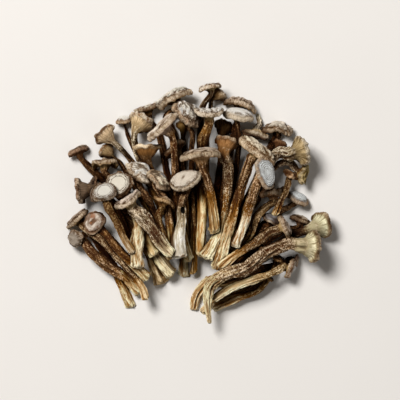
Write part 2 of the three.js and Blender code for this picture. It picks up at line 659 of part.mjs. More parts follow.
/** The bunch, with its origin on the surface under the middle of its box. */
function buildBunch() {
  const bunch = new THREE.Group();
  bunch.name = 'dried_mushroom_bunch';
  const pile = new Pile();
  BUNCH.forEach((spec, index) => {
    const mushroom = growMushroom(spec, index);
    settle(mushroom, spec.line, pile);
    bunch.add(toMesh(mushroom, spec));
  });
  const middle = new THREE.Box3().setFromObject(bunch).getCenter(new THREE.Vector3());
  for (const mesh of bunch.children) mesh.geometry.translate(-middle.x, -middle.y, 0);
  return bunch;
}

export default buildBunch();
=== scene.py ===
"""Looks of a bunch of dried deer antler mushrooms.

Each mushroom of the frame is built afresh over its plain solid, with shrivelled skin, folded gills, a ragged
rim and a torn foot, and gets a finish of its own. Lengths are in millimetres until a mesh is written.
"""

import json
import logging
import math
from dataclasses import dataclass, field, replace
from enum import Enum
from typing import Any

import bpy
import numpy as np
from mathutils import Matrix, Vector
from mathutils.bvhtree import BVHTree


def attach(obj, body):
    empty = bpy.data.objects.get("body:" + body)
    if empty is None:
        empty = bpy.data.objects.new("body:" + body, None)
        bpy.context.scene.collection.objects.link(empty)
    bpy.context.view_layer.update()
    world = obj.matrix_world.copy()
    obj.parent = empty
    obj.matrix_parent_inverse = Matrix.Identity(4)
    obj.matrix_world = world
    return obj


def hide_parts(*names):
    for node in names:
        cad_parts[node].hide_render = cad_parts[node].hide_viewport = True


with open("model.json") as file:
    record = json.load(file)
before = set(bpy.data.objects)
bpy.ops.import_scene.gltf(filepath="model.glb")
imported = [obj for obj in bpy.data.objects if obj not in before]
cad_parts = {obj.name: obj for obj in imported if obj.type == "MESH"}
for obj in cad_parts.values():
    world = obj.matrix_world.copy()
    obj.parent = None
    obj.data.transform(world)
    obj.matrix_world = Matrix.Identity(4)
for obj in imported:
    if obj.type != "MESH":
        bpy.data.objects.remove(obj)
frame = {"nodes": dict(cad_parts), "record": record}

logging.basicConfig(level=logging.INFO, format="%(message)s")
LOG = logging.getLogger("mushroom_bunch")

Colour = tuple[float, float, float, float]
MM = 0.001
GOLDEN_ANGLE = 2.4
Place = tuple[float, float, float]
Discs = tuple[Place, ...]
Span = tuple[float, float]
Socket = bpy.types.NodeSocket
NUMBER, VECTOR, COLOUR = "NodeSocketFloat", "NodeSocketVector", "NodeSocketColor"


def paint(code: str) -> Colour:
    """A shader colour from a six-digit code.

    Args:
        code: red, green and blue as two hexadecimal digits each.

    Returns:
        The colour as linear red, green, blue and alpha.
    """
    parts = [int(code[i : i + 2], 16) / 255 for i in (0, 2, 4)]
    linear = [p / 12.92 if p <= 0.04045 else ((p + 0.055) / 1.055) ** 2.4 for p in parts]
    return (linear[0], linear[1], linear[2], 1.0)


def shade(code: str, amount: float, warm: float = 0.0) -> Colour:
    """The colour of a code, made darker or paler.

    Args:
        code: the colour.
        amount: what it is multiplied by.
        warm: how much of the blue it loses; the red gains half as much.

    Returns:
        The new colour.
    """
    red, green, blue, alpha = paint(code)
    made = (red * amount * (1 + warm / 2), green * amount, blue * amount * (1 - warm))
    return (*(min(part, 1.0) for part in made), alpha)


def ease(start: float, end: float, values: np.ndarray) -> np.ndarray:
    """A smooth step over an array.

    Args:
        start: the value up to which the result is 0.
        end: the value from which the result is 1.
        values: where to read the step.

    Returns:
        Numbers from 0 to 1, in the shape of the values.
    """
    t = np.clip((values - start) / (end - start), 0.0, 1.0)
    return t * t * (3.0 - 2.0 * t)


def hump(middle: float, width: float, values: np.ndarray) -> np.ndarray:
    """A bell curve over an array.

    Args:
        middle: where the curve is 1.
        width: how far from there it falls to about a third.
        values: where to read the curve.

    Returns:
        Numbers from 0 to 1, in the shape of the values.
    """
    return np.exp(-(((values - middle) / width) ** 2))


def rumple(points: np.ndarray, seed: int) -> np.ndarray:
    """Smooth noise in space, the same on every run.

    Args:
        points: positions with three numbers in the last axis; features are about one unit wide.
        seed: which noise to read.

    Returns:
        Numbers from -1 to 1, one for each point.
    """
    base = np.floor(points).astype(np.int64)
    t = points - base
    t = t * t * (3.0 - 2.0 * t)
    total = np.zeros(points.shape[:-1])
    for corner in range(8):
        step = np.array([corner & 1, corner >> 1 & 1, corner >> 2 & 1])
        cell = base + step
        key = cell[..., 0] * 73856093 ^ cell[..., 1] * 19349663 ^ cell[..., 2] * 83492791 ^ seed * 15485863
        key = (key ^ key >> 13) * 1274126177 & 0x7FFFFFFF
        value = (key ^ key >> 15) % 65536 / 65535.0
        total += value * np.prod(np.where(step == 1, t, 1.0 - t), axis=-1)
    return total * 2.0 - 1.0


class Rows(Enum):
    """How densely a mushroom is modelled: its columns round, and its millimetres a row."""

    SMALL = (64, 1.2)
    MIDDLING = (80, 1.1)
    WIDE = (100, 1.0)


@dataclass(frozen=True)
class Flesh:
    """Colours and marks of one mushroom's outside, from its foot to the top of its cap.

    Attributes:
        stem: the dark skin of the stem.
        fleck: the pale flecks that it split into.
        gold: the bare flesh between the skin and the foot.
        foot: the flesh at the foot.
        cap: the top of the cap.
        stain: its darker mottling.
        rim: the edge of the cap.
        lip: the pale line under the edge, partly the edge's own pale colour and partly a painted highlight.
        gills: the underside.
        spot: a single spot on the cap or the foot.
        flecks: how much of the stem is flecked.
        cream: the share of the stem that is bare, from the foot up.
        rings: how deep the rings on the cap are.
        clean: how free of stains the middle of the cap is.
        core: how far out the rings start.
        mottle: how stained the cap is.
        lines: how dark the painted shade is in the gaps between the gills and towards the stem; it also
            scales the gills' bump.
    """

    stem: str = "462612"
    fleck: str = "c7a47c"
    gold: str = "a06c2e"
    foot: str = "f9e1a3"
    cap: str = "eadac4"
    stain: str = "775032"
    rim: str = "b19371"
    lip: str = "eddbbb"
    gills: str = "d7b57a"
    spot: str = "8d6649"
    flecks: float = 0.5
    cream: float = 0.4
    rings: float = 0.0
    clean: float = 0.0
    core: float = 0.44
    mottle: float = 0.5
    lines: float = 0.7


ASH = Flesh()
CHALK = Flesh(cap="dcd2bb", stain="8d6c4b", rim="8d6a4b", rings=1.0, clean=1.0)
MIST = Flesh(cap="d2d4da", stain="9e9890", rim="8d6d50", rings=0.5, clean=1.0, core=0.1, mottle=0.3)
CLAY = Flesh(cap="e5bb8e", stain="95693e", rim="bb8f62")
SMOKE = Flesh(cap="bea790", stain="62482f", rim="997d64", flecks=0.45)
SOOT = Flesh(
    stem="3b2011", fleck="967652", gold="81552a", cap="7c6451", stain="3d291b", rim="85694d", lip="ba977b",
    gills="815c3e", flecks=0.42,
)
BARK = Flesh(
    stem="4c2811", fleck="a78150", gold="996421", foot="f4ca7c", cap="a6835c", stain="55371e", rim="946f49",
    lip="c9a472", gills="b38048", flecks=0.4,
)


@dataclass(frozen=True)
class Habit:
    """What one mushroom looks like beyond its solid.

    Attributes:
        flesh: its colours.
        wrinkle: how deep its wrinkles are.
        wave: how far its rim waves.
        tear: how far its rim is torn.
        foot_tear: how far its foot is torn.
        dish: how far the top of its cap sinks.
        bell: how far its cap flares from the stem.
        holes: the x, y and radius of each hole, in millimetres.
        spots: the x, y and radius of each spot, in millimetres.
    """

    flesh: Flesh = ASH
    wrinkle: float = 1.0
    wave: float = 1.0
    tear: float = 0.2
    foot_tear: float = 1.0
    dish: float = 0.0
    bell: float = 0.0
    holes: Discs = ()
    spots: Discs = ()


def flared(flesh: Flesh, **more: Any) -> Habit:
    """The habit of a mushroom with a flared, waving cap."""
    return Habit(flesh, wave=1.3, bell=1.0, **more)


HABITS: dict[str, Habit] = {
    "left_hidden_cap": Habit(replace(BARK, foot="f9e1a6", cream=0.42)),
    "left_grey_button": Habit(
        replace(SMOKE, cap="ad9f8f", rim="ac9987", flecks=0.4, cream=0.3, clean=0.7),
        dish=1.0,
    ),
    "left_far_cap": Habit(replace(SOOT, cap="c6b6a2", stain="5a4736", rim="9f8771", mottle=0.42), tear=0.3),
    "left_small_trumpet": flared(replace(CLAY, cap="a99076", rim="baa88f", gills="ab9066", lines=0.8)),
    "left_pale_trumpet": flared(Flesh(fleck="e4cfa8", rim="dacdb6", gills="d6b68a", flecks=0.6, lines=0.8)),
    "back_white_button": Habit(replace(CHALK, cap="f5f1e5", rim="9c7d5d", rings=0.2), wrinkle=0.5),
    "left_wavy_bar": Habit(replace(SMOKE, cap="a9957d", rim="a28d76"), wrinkle=1.3, tear=0.4),
    "back_left_bar": Habit(Flesh(cap="e6d7c3", rim="beac8f", mottle=0.55)),
    "back_hooked_cap": Habit(
        Flesh(cap="ecdcc8", stain="6c543e", rim="bda68c", mottle=0.62),
        wrinkle=1.3, tear=0.3,
    ),
    "back_yellow_gill": flared(replace(BARK, rim="a6936c", gills="deb469", lines=0.8)),
    "back_gill_cap": flared(Flesh(fleck="e2ca9e", cap="e4d0b6", rim="ccbba0", gills="e3bd85", lines=0.8)),
    "back_shaded_trumpet": flared(replace(BARK, rim="968163", gills="997b50", lines=0.8)),
    "back_white_stem": Habit(
        Flesh(fleck="ddc9a7", gold="7c5934", foot="f6d694", cap="ebdcce", rim="d1c3b1", cream=0.3),
    ),
    "back_right_bar": Habit(replace(SMOKE, cap="c1ab95", rim="b19981"), wrinkle=1.5),
    "back_white_ellipse": Habit(
        replace(CHALK, cap="eae6de", stain="9e8a73", rim="c4b49c", rings=0.0, clean=0.9, mottle=0.3),
        wrinkle=0.5,
    ),
    "right_mottled_cap": Habit(
        Flesh(cap="e5cfb7", stain="7b6045", rim="bea88e", mottle=0.65),
        wrinkle=1.3, tear=1.0,
    ),
    "back_upturned_cap": Habit(
        replace(SMOKE, fleck="e0cdac", gold="b19d7d", foot="f9e8bb", rim="978471", flecks=0.75),
    ),
    "right_white_oval": Habit(replace(MIST, cap="ecf5f9")),
    "right_tucked_cap": Habit(replace(MIST, cap="c8c6ca")),
    "right_low_bar": Habit(replace(SMOKE, cap="ab9c89", gills="cfab89")),
    "right_dark_cap": Habit(replace(SOOT, cap="aa947d", rim="9a8370")),
    "front_lens_foot": Habit(replace(CLAY, fleck="c9ab7a", foot="f9dda3", cream=0.73)),
    "front_outer_stem": Habit(replace(BARK, fleck="c0a070", foot="f9dca3", cream=0.73)),
    "front_flat_foot": Habit(replace(BARK, fleck="c4a873", foot="f9e3b0", cream=0.63)),
    "front_bar_cap": Habit(
        Flesh(fleck="dabf8e", gold="ba935c", foot="f9e6af", cap="c4af99", rim="ad9780", cream=0.83),
        wrinkle=1.1,
    ),
    "right_short_stem": Habit(replace(CLAY, fleck="c8a878", cream=0.2)),
    "right_crumpled_cap": Habit(
        replace(CLAY, fleck="c7b394", cap="d7bc78", stain="7d6839", rim="b59d62", gills="d7a95d"),
        wrinkle=1.5, tear=0.8,
    ),
    "middle_pale_stem": Habit(Flesh(flecks=0.55)),
    "right_shell_cap": Habit(SOOT),
    "left_flared_foot": Habit(
        replace(SOOT, gold="8d6535", foot="eac689", cap="756454", cream=0.68),
        foot_tear=1.6,
    ),
    "left_dark_trumpet": flared(
        replace(SOOT, gold="9f845c", foot="f1d79e", rim="b19d85", gills="796653", cream=0.55, lines=0.8),
    ),
    "left_cream_foot": Habit(replace(BARK, gold="ca9d52", foot="f9dfa2", cream=0.83)),
    "left_small_cap": Habit(replace(SMOKE, cap="958372")),
    "left_thin_stem": Habit(BARK),
    "left_bar_cap": Habit(
        replace(SMOKE, fleck="b9a07c", foot="e1c68f", cap="b4a08c", rim="a6907b", flecks=0.5, cream=0.25),
    ),
    "left_spotted_cap": Habit(
        Flesh(
            fleck="9c7a52", cap="e1cfbc", stain="9c7354", rim="a6876a", spot="a66d45", cream=0.3, clean=0.4,
        ),
        wrinkle=0.8, spots=((-79.8, -9.6, 2.0), (-81.2, -14.8, 0.9)),
    ),
    "bent_stem_trumpet": flared(Flesh(fleck="e1cfa9", rim="d0c1ab", gills="ddbc87", flecks=0.6, lines=0.8)),
    "small_tilted_cap": flared(
        replace(CLAY, foot="f9e6af", cap="c1aa8e", rim="cfbc9e", gills="edce9d", cream=0.58, lines=0.8),
    ),
    "back_wrinkled_cap": Habit(
        Flesh(cap="f9efdb", stain="785f49", rim="aa8e72", mottle=0.52),
        wrinkle=0.9, tear=0.4,
    ),
    "thin_brown_stem": Habit(replace(BARK, fleck="ac9368")),
    "back_crescent_cap": Habit(
        Flesh(
            fleck="b99766", gold="c18230", foot="f9dfa0", cap="f7edde", stain="795e42", rim="cfbfaa",
            cream=0.68, mottle=0.4,
        ),
        wrinkle=0.6, wave=0.6, foot_tear=1.8,
    ),
    "long_pale_cap": Habit(Flesh(cap="e6cfb7", stain="9e8162", rim="c5af96", gills="e6c0a2"), tear=0.7),
    "pale_thin_plate": flared(
        replace(
            CLAY, stem="664729", cap="f9e1b4", rim="edd2a3", lip="f9e6bd", gills="815d37", mottle=0.25,
            lines=0.8,
        ),
        tear=0.4,
    ),
    "folded_white_cap": Habit(
        replace(CHALK, cap="f9f0dd", stain="a68766", rim="f3e3c8", rings=0.0, clean=0.0, mottle=0.42),
        tear=0.9,
    ),
    "brown_trumpet": flared(
        Flesh(
            fleck="cdb592", foot="f9e6af", cap="957c63", rim="b19c7f", gills="b58552", cream=0.58,
            lines=0.8,
        ),
    ),
    "big_bar_cap": Habit(
        Flesh(foot="f9dd9d", cap="d0baa2", stain="7a6349", rim="b7a084", gills="cfa16c", cream=0.66),
        wrinkle=0.8, wave=0.5, foot_tear=2.2,
    ),
    "right_large_trumpet": Habit(
        replace(SMOKE, fleck="c4b59a", cap="988b78", rim="cabda2", gills="b79e6f", flecks=0.6, lines=0.95),
        wrinkle=1.4, wave=1.3, bell=0.5,
    ),
    "tan_rolled_cap": Habit(
        replace(
            CLAY, fleck="bc9a70", foot="f9dea5", cap="e2cdaa", stain="7c5d3e", rim="ccb18c", cream=0.58,
            mottle=0.58,
        ),
        wrinkle=1.2,
    ),
    "white_oval_cap": Habit(replace(MIST, foot="f9e4bd", cap="edf5f9", cream=0.58, rings=0.8)),
    "right_wavy_cap": Habit(
        replace(CLAY, fleck="c4a678", cap="d1b698", rim="c1a889", gills="e3b07a"),
        wrinkle=1.5,
    ),
    "right_grey_bar": Habit(
        replace(SMOKE, fleck="b39c7a", foot="f4d396", cap="bca897", cream=0.48),
        wrinkle=0.9,
    ),
    "right_upper_trumpet": flared(
        Flesh(fleck="c9b697", cap="968471", rim="a18a6c", gills="f4e5b0", lines=1.0),
    ),
    "left_wide_disc": Habit(
        replace(CHALK, foot="f9e5b4", cap="e6ddc8", stain="6c4b2e", rim="8a6645", cream=0.8, mottle=0.74),
        dish=1.0,
    ),
    "left_front_disc": Habit(
        replace(
            CHALK, fleck="9e8259", gold="8d6739", foot="d9bf95", cap="e2ddd0", stain="7c5f45", rim="b4a08e",
            mottle=0.64,
        ),
        dish=1.0,
    ),
    "beige_patched_cap": Habit(
        replace(CLAY, cap="f0d7b1", stain="86725c", rim="b59676", spot="9d9ea0", mottle=0.6),
        wrinkle=1.1, spots=((-25.8, 22.6, 3.4),),
    ),
    "brown_crescent": Habit(replace(BARK, fleck="b29668", cap="bfa07b", rim="b29670", gills="a47948")),
    "wide_pale_cap": Habit(
        replace(
            CHALK, gold="d0b98f", foot="f9f6e9", cap="e6d7c1", rim="cfbca0", spot="d79f45", cream=0.66,
            rings=0.25, clean=0.8, mottle=0.38,
        ),
        wrinkle=0.6,
        wave=0.4,
        tear=0.0,
        foot_tear=1.3,
        holes=((-11.7, -5.3, 2.4),),
        spots=((-12.0, -41.5, 2.8),),
    ),
    "left_crescent": Habit(
        replace(
            SMOKE, fleck="c8b496", gold="a48965", foot="f9e1a7", cap="cebaa6", rim="bba690", flecks=0.49,
            cream=0.3,
        ),
        wrinkle=1.5,
    ),
    "right_big_trumpet": flared(
        replace(
            SMOKE, fleck="c9b190", gold="956f45", foot="f9dfa2", cap="7f6a56", rim="957a5b", gills="f3e0aa",
            flecks=0.47, cream=0.42, lines=1.0,
        ),
        wrinkle=1.2,
    ),
}


class Solid:
    """The rings of points of one mushroom's plain solid, from its foot to its crown."""

    CAP_RINGS = 6
    WELD = 0.000002

    def __init__(self, node: str) -> None:
        """Reads the rings.

        Args:
            node: the frame's name for the mushroom.
        """
        self.node = node
        self.points, self.faces = self._merged(frame["nodes"][node])
        self.rings, self.foot, self.crown = self._unwind(self.points, self.faces)
        self.neck = len(self.rings) - self.CAP_RINGS - 1

    @staticmethod
    def _merged(source: bpy.types.Object) -> tuple[np.ndarray, list[tuple[int, ...]]]:
        """Copies a solid, merges its loose triangles and takes it down again.

        Args:
            source: the frame's object.

        Returns:
            The points in millimetres, and the triangles.
        """
        bpy.ops.object.select_all(action="DESELECT")
        copy = source.copy()
        copy.data = source.data.copy()
        bpy.context.collection.objects.link(copy)
        copy.hide_set(False)
        copy.select_set(True)
        bpy.context.view_layer.objects.active = copy
        bpy.ops.object.mode_set(mode="EDIT")
        bpy.ops.mesh.select_all(action="SELECT")
        bpy.ops.mesh.remove_doubles(threshold=Solid.WELD)
        bpy.ops.object.mode_set(mode="OBJECT")
        points = np.empty(len(copy.data.vertices) * 3)
        copy.data.vertices.foreach_get("co", points)
        faces = [tuple(polygon.vertices) for polygon in copy.data.polygons]
        mesh = copy.data
        bpy.data.objects.remove(copy)
        bpy.data.meshes.remove(mesh)
        return points.reshape(-1, 3) / MM, faces

    @staticmethod
    def _unwind(
        points: np.ndarray, faces: list[tuple[int, ...]]
    ) -> tuple[np.ndarray, np.ndarray, np.ndarray]:
        """Walks the mesh ring by ring from one pole to the other.

        Args:
            points: the merged points.
            faces: the triangles, turned outwards.

        Returns:
            The rings as an array of ring, side and place, then the foot's and the crown's middle point.
        """
        across = {}
        valence = np.zeros(len(points), dtype=int)
        for a, b, c in faces:
            across[a, b], across[b, c], across[c, a] = c, a, b
            for corner in (a, b, c):
                valence[corner] += 1
        start, end = (int(i) for i in np.argsort(valence)[-2:])
        following = {a: b for (a, b), c in across.items() if c == start}
        first = next(iter(following))
        ring = [first]
        while following[ring[-1]] != first:
            ring.append(following[ring[-1]])
        rings = [ring]
        sides = len(ring)
        while True:
            ring = rings[-1]
            after = [0] * sides
            for i in range(sides):
                after[(i + 1) % sides] = across[ring[(i + 1) % sides], ring[i]]
            if after[0] == end:
                break
            rings.append(after)
        stack = points[np.array(rings)]
        spread = np.linalg.norm(stack - stack.mean(axis=1, keepdims=True), axis=2).mean(axis=1)
        if int(spread.argmax()) < len(stack) / 2:
            stack, start, end = stack[::-1], end, start
        heading = stack[1].mean(axis=0) - stack[0].mean(axis=0)
        spokes = stack[0] - stack[0].mean(axis=0)
        if np.dot(np.cross(spokes, np.roll(spokes, -1, axis=0)).sum(axis=0), heading) < 0:
            stack = stack[:, ::-1]
        return stack, points[start], points[end]


class Pile:
    """All the solids together, to tell how little light reaches a place deep in the bunch, where the finish
    paints shade.
    """

    RAYS = 14
    FAR = 45.0
    CLEAR = 0.7
    LOW_RAY = 0.3
    COARSE_ROWS = 4
    COARSE_COLUMNS = 7

    def __init__(self, solids: list[Solid]) -> None:
        """Joins the solids' triangles.

        Args:
            solids: every mushroom of the bunch.
        """
        points: list[Any] = []
        faces: list[tuple[int, ...]] = []
        for solid in solids:
            faces += [tuple(i + len(points) for i in face) for face in solid.faces]
            points += [tuple(point) for point in solid.points]
        self.tree = BVHTree.FromPolygons(points, faces)

    def depth(self, points: np.ndarray, normals: np.ndarray) -> np.ndarray:
        """How little light reaches a skin past its neighbours.

        Args:
            points: the skin's grid of points.
            normals: the outward directions there.

        Returns:
            Numbers from 0, in the open, to 1, buried, in the grid's shape.
        """
        rows, columns = points.shape[:2]
        tall = max(rows // self.COARSE_ROWS, 2)
        wide = max(columns // self.COARSE_COLUMNS, 3)
        at_row = np.rint(np.linspace(0, rows - 1, tall)).astype(int)
        at_column = np.arange(wide) * columns // wide
        coarse = np.zeros((tall, wide))
        for i, row in enumerate(at_row):
            for j, column in enumerate(at_column):
                coarse[i, j] = self._buried(Vector(points[row, column]), Vector(normals[row, column]))
        y = np.linspace(0, tall - 1, rows)
        x = np.arange(columns) * wide / columns
        y0 = np.minimum(y.astype(int), tall - 2)[:, None]
        x0 = x.astype(int)[None, :] % wide
        v, u = y[:, None] - y0, (x - x.astype(int))[None, :]
        lower = coarse[y0, x0] * (1 - u) + coarse[y0, (x0 + 1) % wide] * u
        upper = coarse[y0 + 1, x0] * (1 - u) + coarse[y0 + 1, (x0 + 1) % wide] * u
        return lower * (1 - v) + upper * v

    def _buried(self, point: Vector, normal: Vector) -> float:
        """Looks out of one place in all directions.

        Args:
            point: the place.
            normal: the outward direction there.

        Returns:
            0 in the open to 1 when shut in.
        """
        if normal.length < 0.5:
            return 0.5
        start = point + normal * self.CLEAR
        turn = normal.to_track_quat("Z", "Y")
        blocked = open_sky = 0.0
        for k in range(self.RAYS):
            height = math.sqrt(1 - (k + 0.5) / self.RAYS)
            flat = math.sqrt(1 - height * height)
            round_it = GOLDEN_ANGLE * k
            ray = turn @ Vector((flat * math.cos(round_it), flat * math.sin(round_it), height))
            weight = 1.0 if ray.z > 0 else self.LOW_RAY
            open_sky += weight
            if self.tree.ray_cast(start, ray, self.FAR)[0] is not None:
                blocked += weight
        return blocked / open_sky


@dataclass
class Skin:
    """The fine surface of a mushroom: a grid of points in rows from foot to crown.

    Attributes:
        solid: what it is laid over.
        columns: how many points a row has.
        pitch: how far the rows are apart, in millimetres.
        points: the grid.
        along: for each row, how far up the stem it is, from 0 to 1.
        part: for each row, 0 on the stem, 1 to 4 under the cap, then up to 7 at the crown.
        length: for each row, its distance from the foot, in millimetres.
    """

    FACE, COLLAR, TIP = 0.86, 0.14, 0.35
    CAP_WEIGHT = 1.6
    FEWEST_ROWS = 40

    solid: Solid
    columns: int
    pitch: float
    points: np.ndarray = field(init=False)
    along: np.ndarray = field(init=False)
    part: np.ndarray = field(init=False)
    length: np.ndarray = field(init=False)

    def __post_init__(self) -> None:
        """Lofts the grid through the solid's rings."""
        rings, foot, crown = self.solid.rings, self.solid.foot, self.solid.crown
        sides = rings.shape[1]
        face = foot + self.FACE * (rings[0] - foot)
        collar = rings[0] + self.COLLAR * (rings[1] - rings[0])
        tip = crown + self.TIP * (rings[-1] - crown)
        rows = np.concatenate(
            [
                [np.tile(foot, (sides, 1)), face, rings[0], collar],
                rings[1:],
                [tip, np.tile(crown, (sides, 1))],
            ]
        )
        neck = self.solid.neck
        start = [-0.05, -0.02, 0.0, self.COLLAR / neck]
        along = np.concatenate([start, np.arange(1, neck + 1) / neck, np.ones(8)])
        part = np.concatenate([np.zeros(neck + 4), np.arange(1, 7), [7 - self.TIP, 7.0]])
        rows = self._round(rows)
        gaps = np.maximum(np.linalg.norm(np.diff(rows, axis=0), axis=2).mean(axis=1), 0.05)
        knots = np.concatenate([[0.0], np.cumsum(gaps)])
        weights = gaps * np.where(part[1:] > 0, self.CAP_WEIGHT, 1.0)
        weighed = np.concatenate([[0.0], np.cumsum(weights)])
        count = max(self.FEWEST_ROWS, int(weighed[-1] / self.pitch))
        places = np.interp(np.linspace(0, weighed[-1], count + 1), weighed, knots)
        self.points = self._loft(rows, gaps, knots, places)
        self.along = np.interp(places, knots, along)
        self.part = np.interp(places, knots, part)
        self.length = places

    def _round(self, rows: np.ndarray) -> np.ndarray:
        """Fills each row out to the full number of columns on a smooth closed curve.

        Args:
            rows: the rows with as many points as the solid has sides.

        Returns:
            The rows with the grid's columns.
        """
        sides = rows.shape[1]
        place = np.arange(self.columns) * sides / self.columns
        index = np.floor(place).astype(int)
        t = (place - index)[None, :, None]
        before, here, after, beyond = (rows[:, (index + k) % sides] for k in (-1, 0, 1, 2))
        cubic = 3 * (here - after) + beyond - before
        square = 2 * before - 5 * here + 4 * after - beyond
        return here + 0.5 * t * (after - before + t * (square + t * cubic))

    @staticmethod
    def _loft(rows: np.ndarray, gaps: np.ndarray, knots: np.ndarray, places: np.ndarray) -> np.ndarray:
        """Reads a smooth surface through the rows.

        Args:
            rows: the rows to pass through.
            gaps: the distance from each row to the next.
            knots: the distance of each row from the first.
            places: the distances to read at.

        Returns:
            One row for each place.
        """
        steps = np.diff(rows, axis=0) / gaps[:, None, None]
        before, after = gaps[:-1, None, None], gaps[1:, None, None]
        inner = (steps[1:] * before + steps[:-1] * after) / (before + after)
        slopes = np.concatenate([steps[:1], inner, steps[-1:]])
        index = np.clip(np.searchsorted(knots, places, side="right") - 1, 0, len(gaps) - 1)
        gap = gaps[index][:, None, None]
        t = ((places - knots[index]) / gaps[index])[:, None, None]
        return (
            (1 + 2 * t) * (1 - t) ** 2 * rows[index]
            + t * (1 - t) ** 2 * gap * slopes[index]
            + t * t * (3 - 2 * t) * rows[index + 1]
            + t * t * (t - 1) * gap * slopes[index + 1]
        )

    def normals(self) -> np.ndarray:
        """The outward direction at every point of the grid.

        Returns:
            One direction for each point.
        """
        round_it = np.roll(self.points, -1, axis=1) - np.roll(self.points, 1, axis=1)
        up_it = np.gradient(self.points, axis=0)
        out = np.cross(round_it, up_it)
        out[0], out[-1] = out[1].mean(axis=0), out[-2].mean(axis=0)
        return out / np.maximum(np.linalg.norm(out, axis=2, keepdims=True), 1e-9)


class Ribs(Enum):
    """Noises that run lengthways: ribs in a radian, how long each is in millimetres, and which noise."""

    FURROWS = (1.5, 18.0, 1)
    CREASES = (3.1, 8.5, 2)
    THREADS = (6.0, 10.0, 18)
    LUMPS = (2.2, 3.2, 3)
    PIMPLES = (5.0, 1.7, 4)
    HOLLOWS = (2.0, 60.0, 19)
    PLEAT_SWAY = (1.2, 9.0, 5)
    GILL_FOLDS = (1.4, 8.0, 6)
    GILL_THREADS = (6.0, 4.0, 20)
    RIM_SWELLS = (2.6, 60.0, 9)
    RIM_NICKS = (7.0, 60.0, 22)
    LOBES = (1.1, 400.0, 11)
    FRILLS = (3.2, 400.0, 12)
    BITES = (2.1, 400.0, 13)
    NIBBLES = (6.0, 400.0, 14)
    BULGES = (1.3, 400.0, 15)
    RAGS = (1.6, 400.0, 16)
    SHREDS = (4.4, 400.0, 17)
    FLARE_EDGE = (2.5, 9.0, 25)


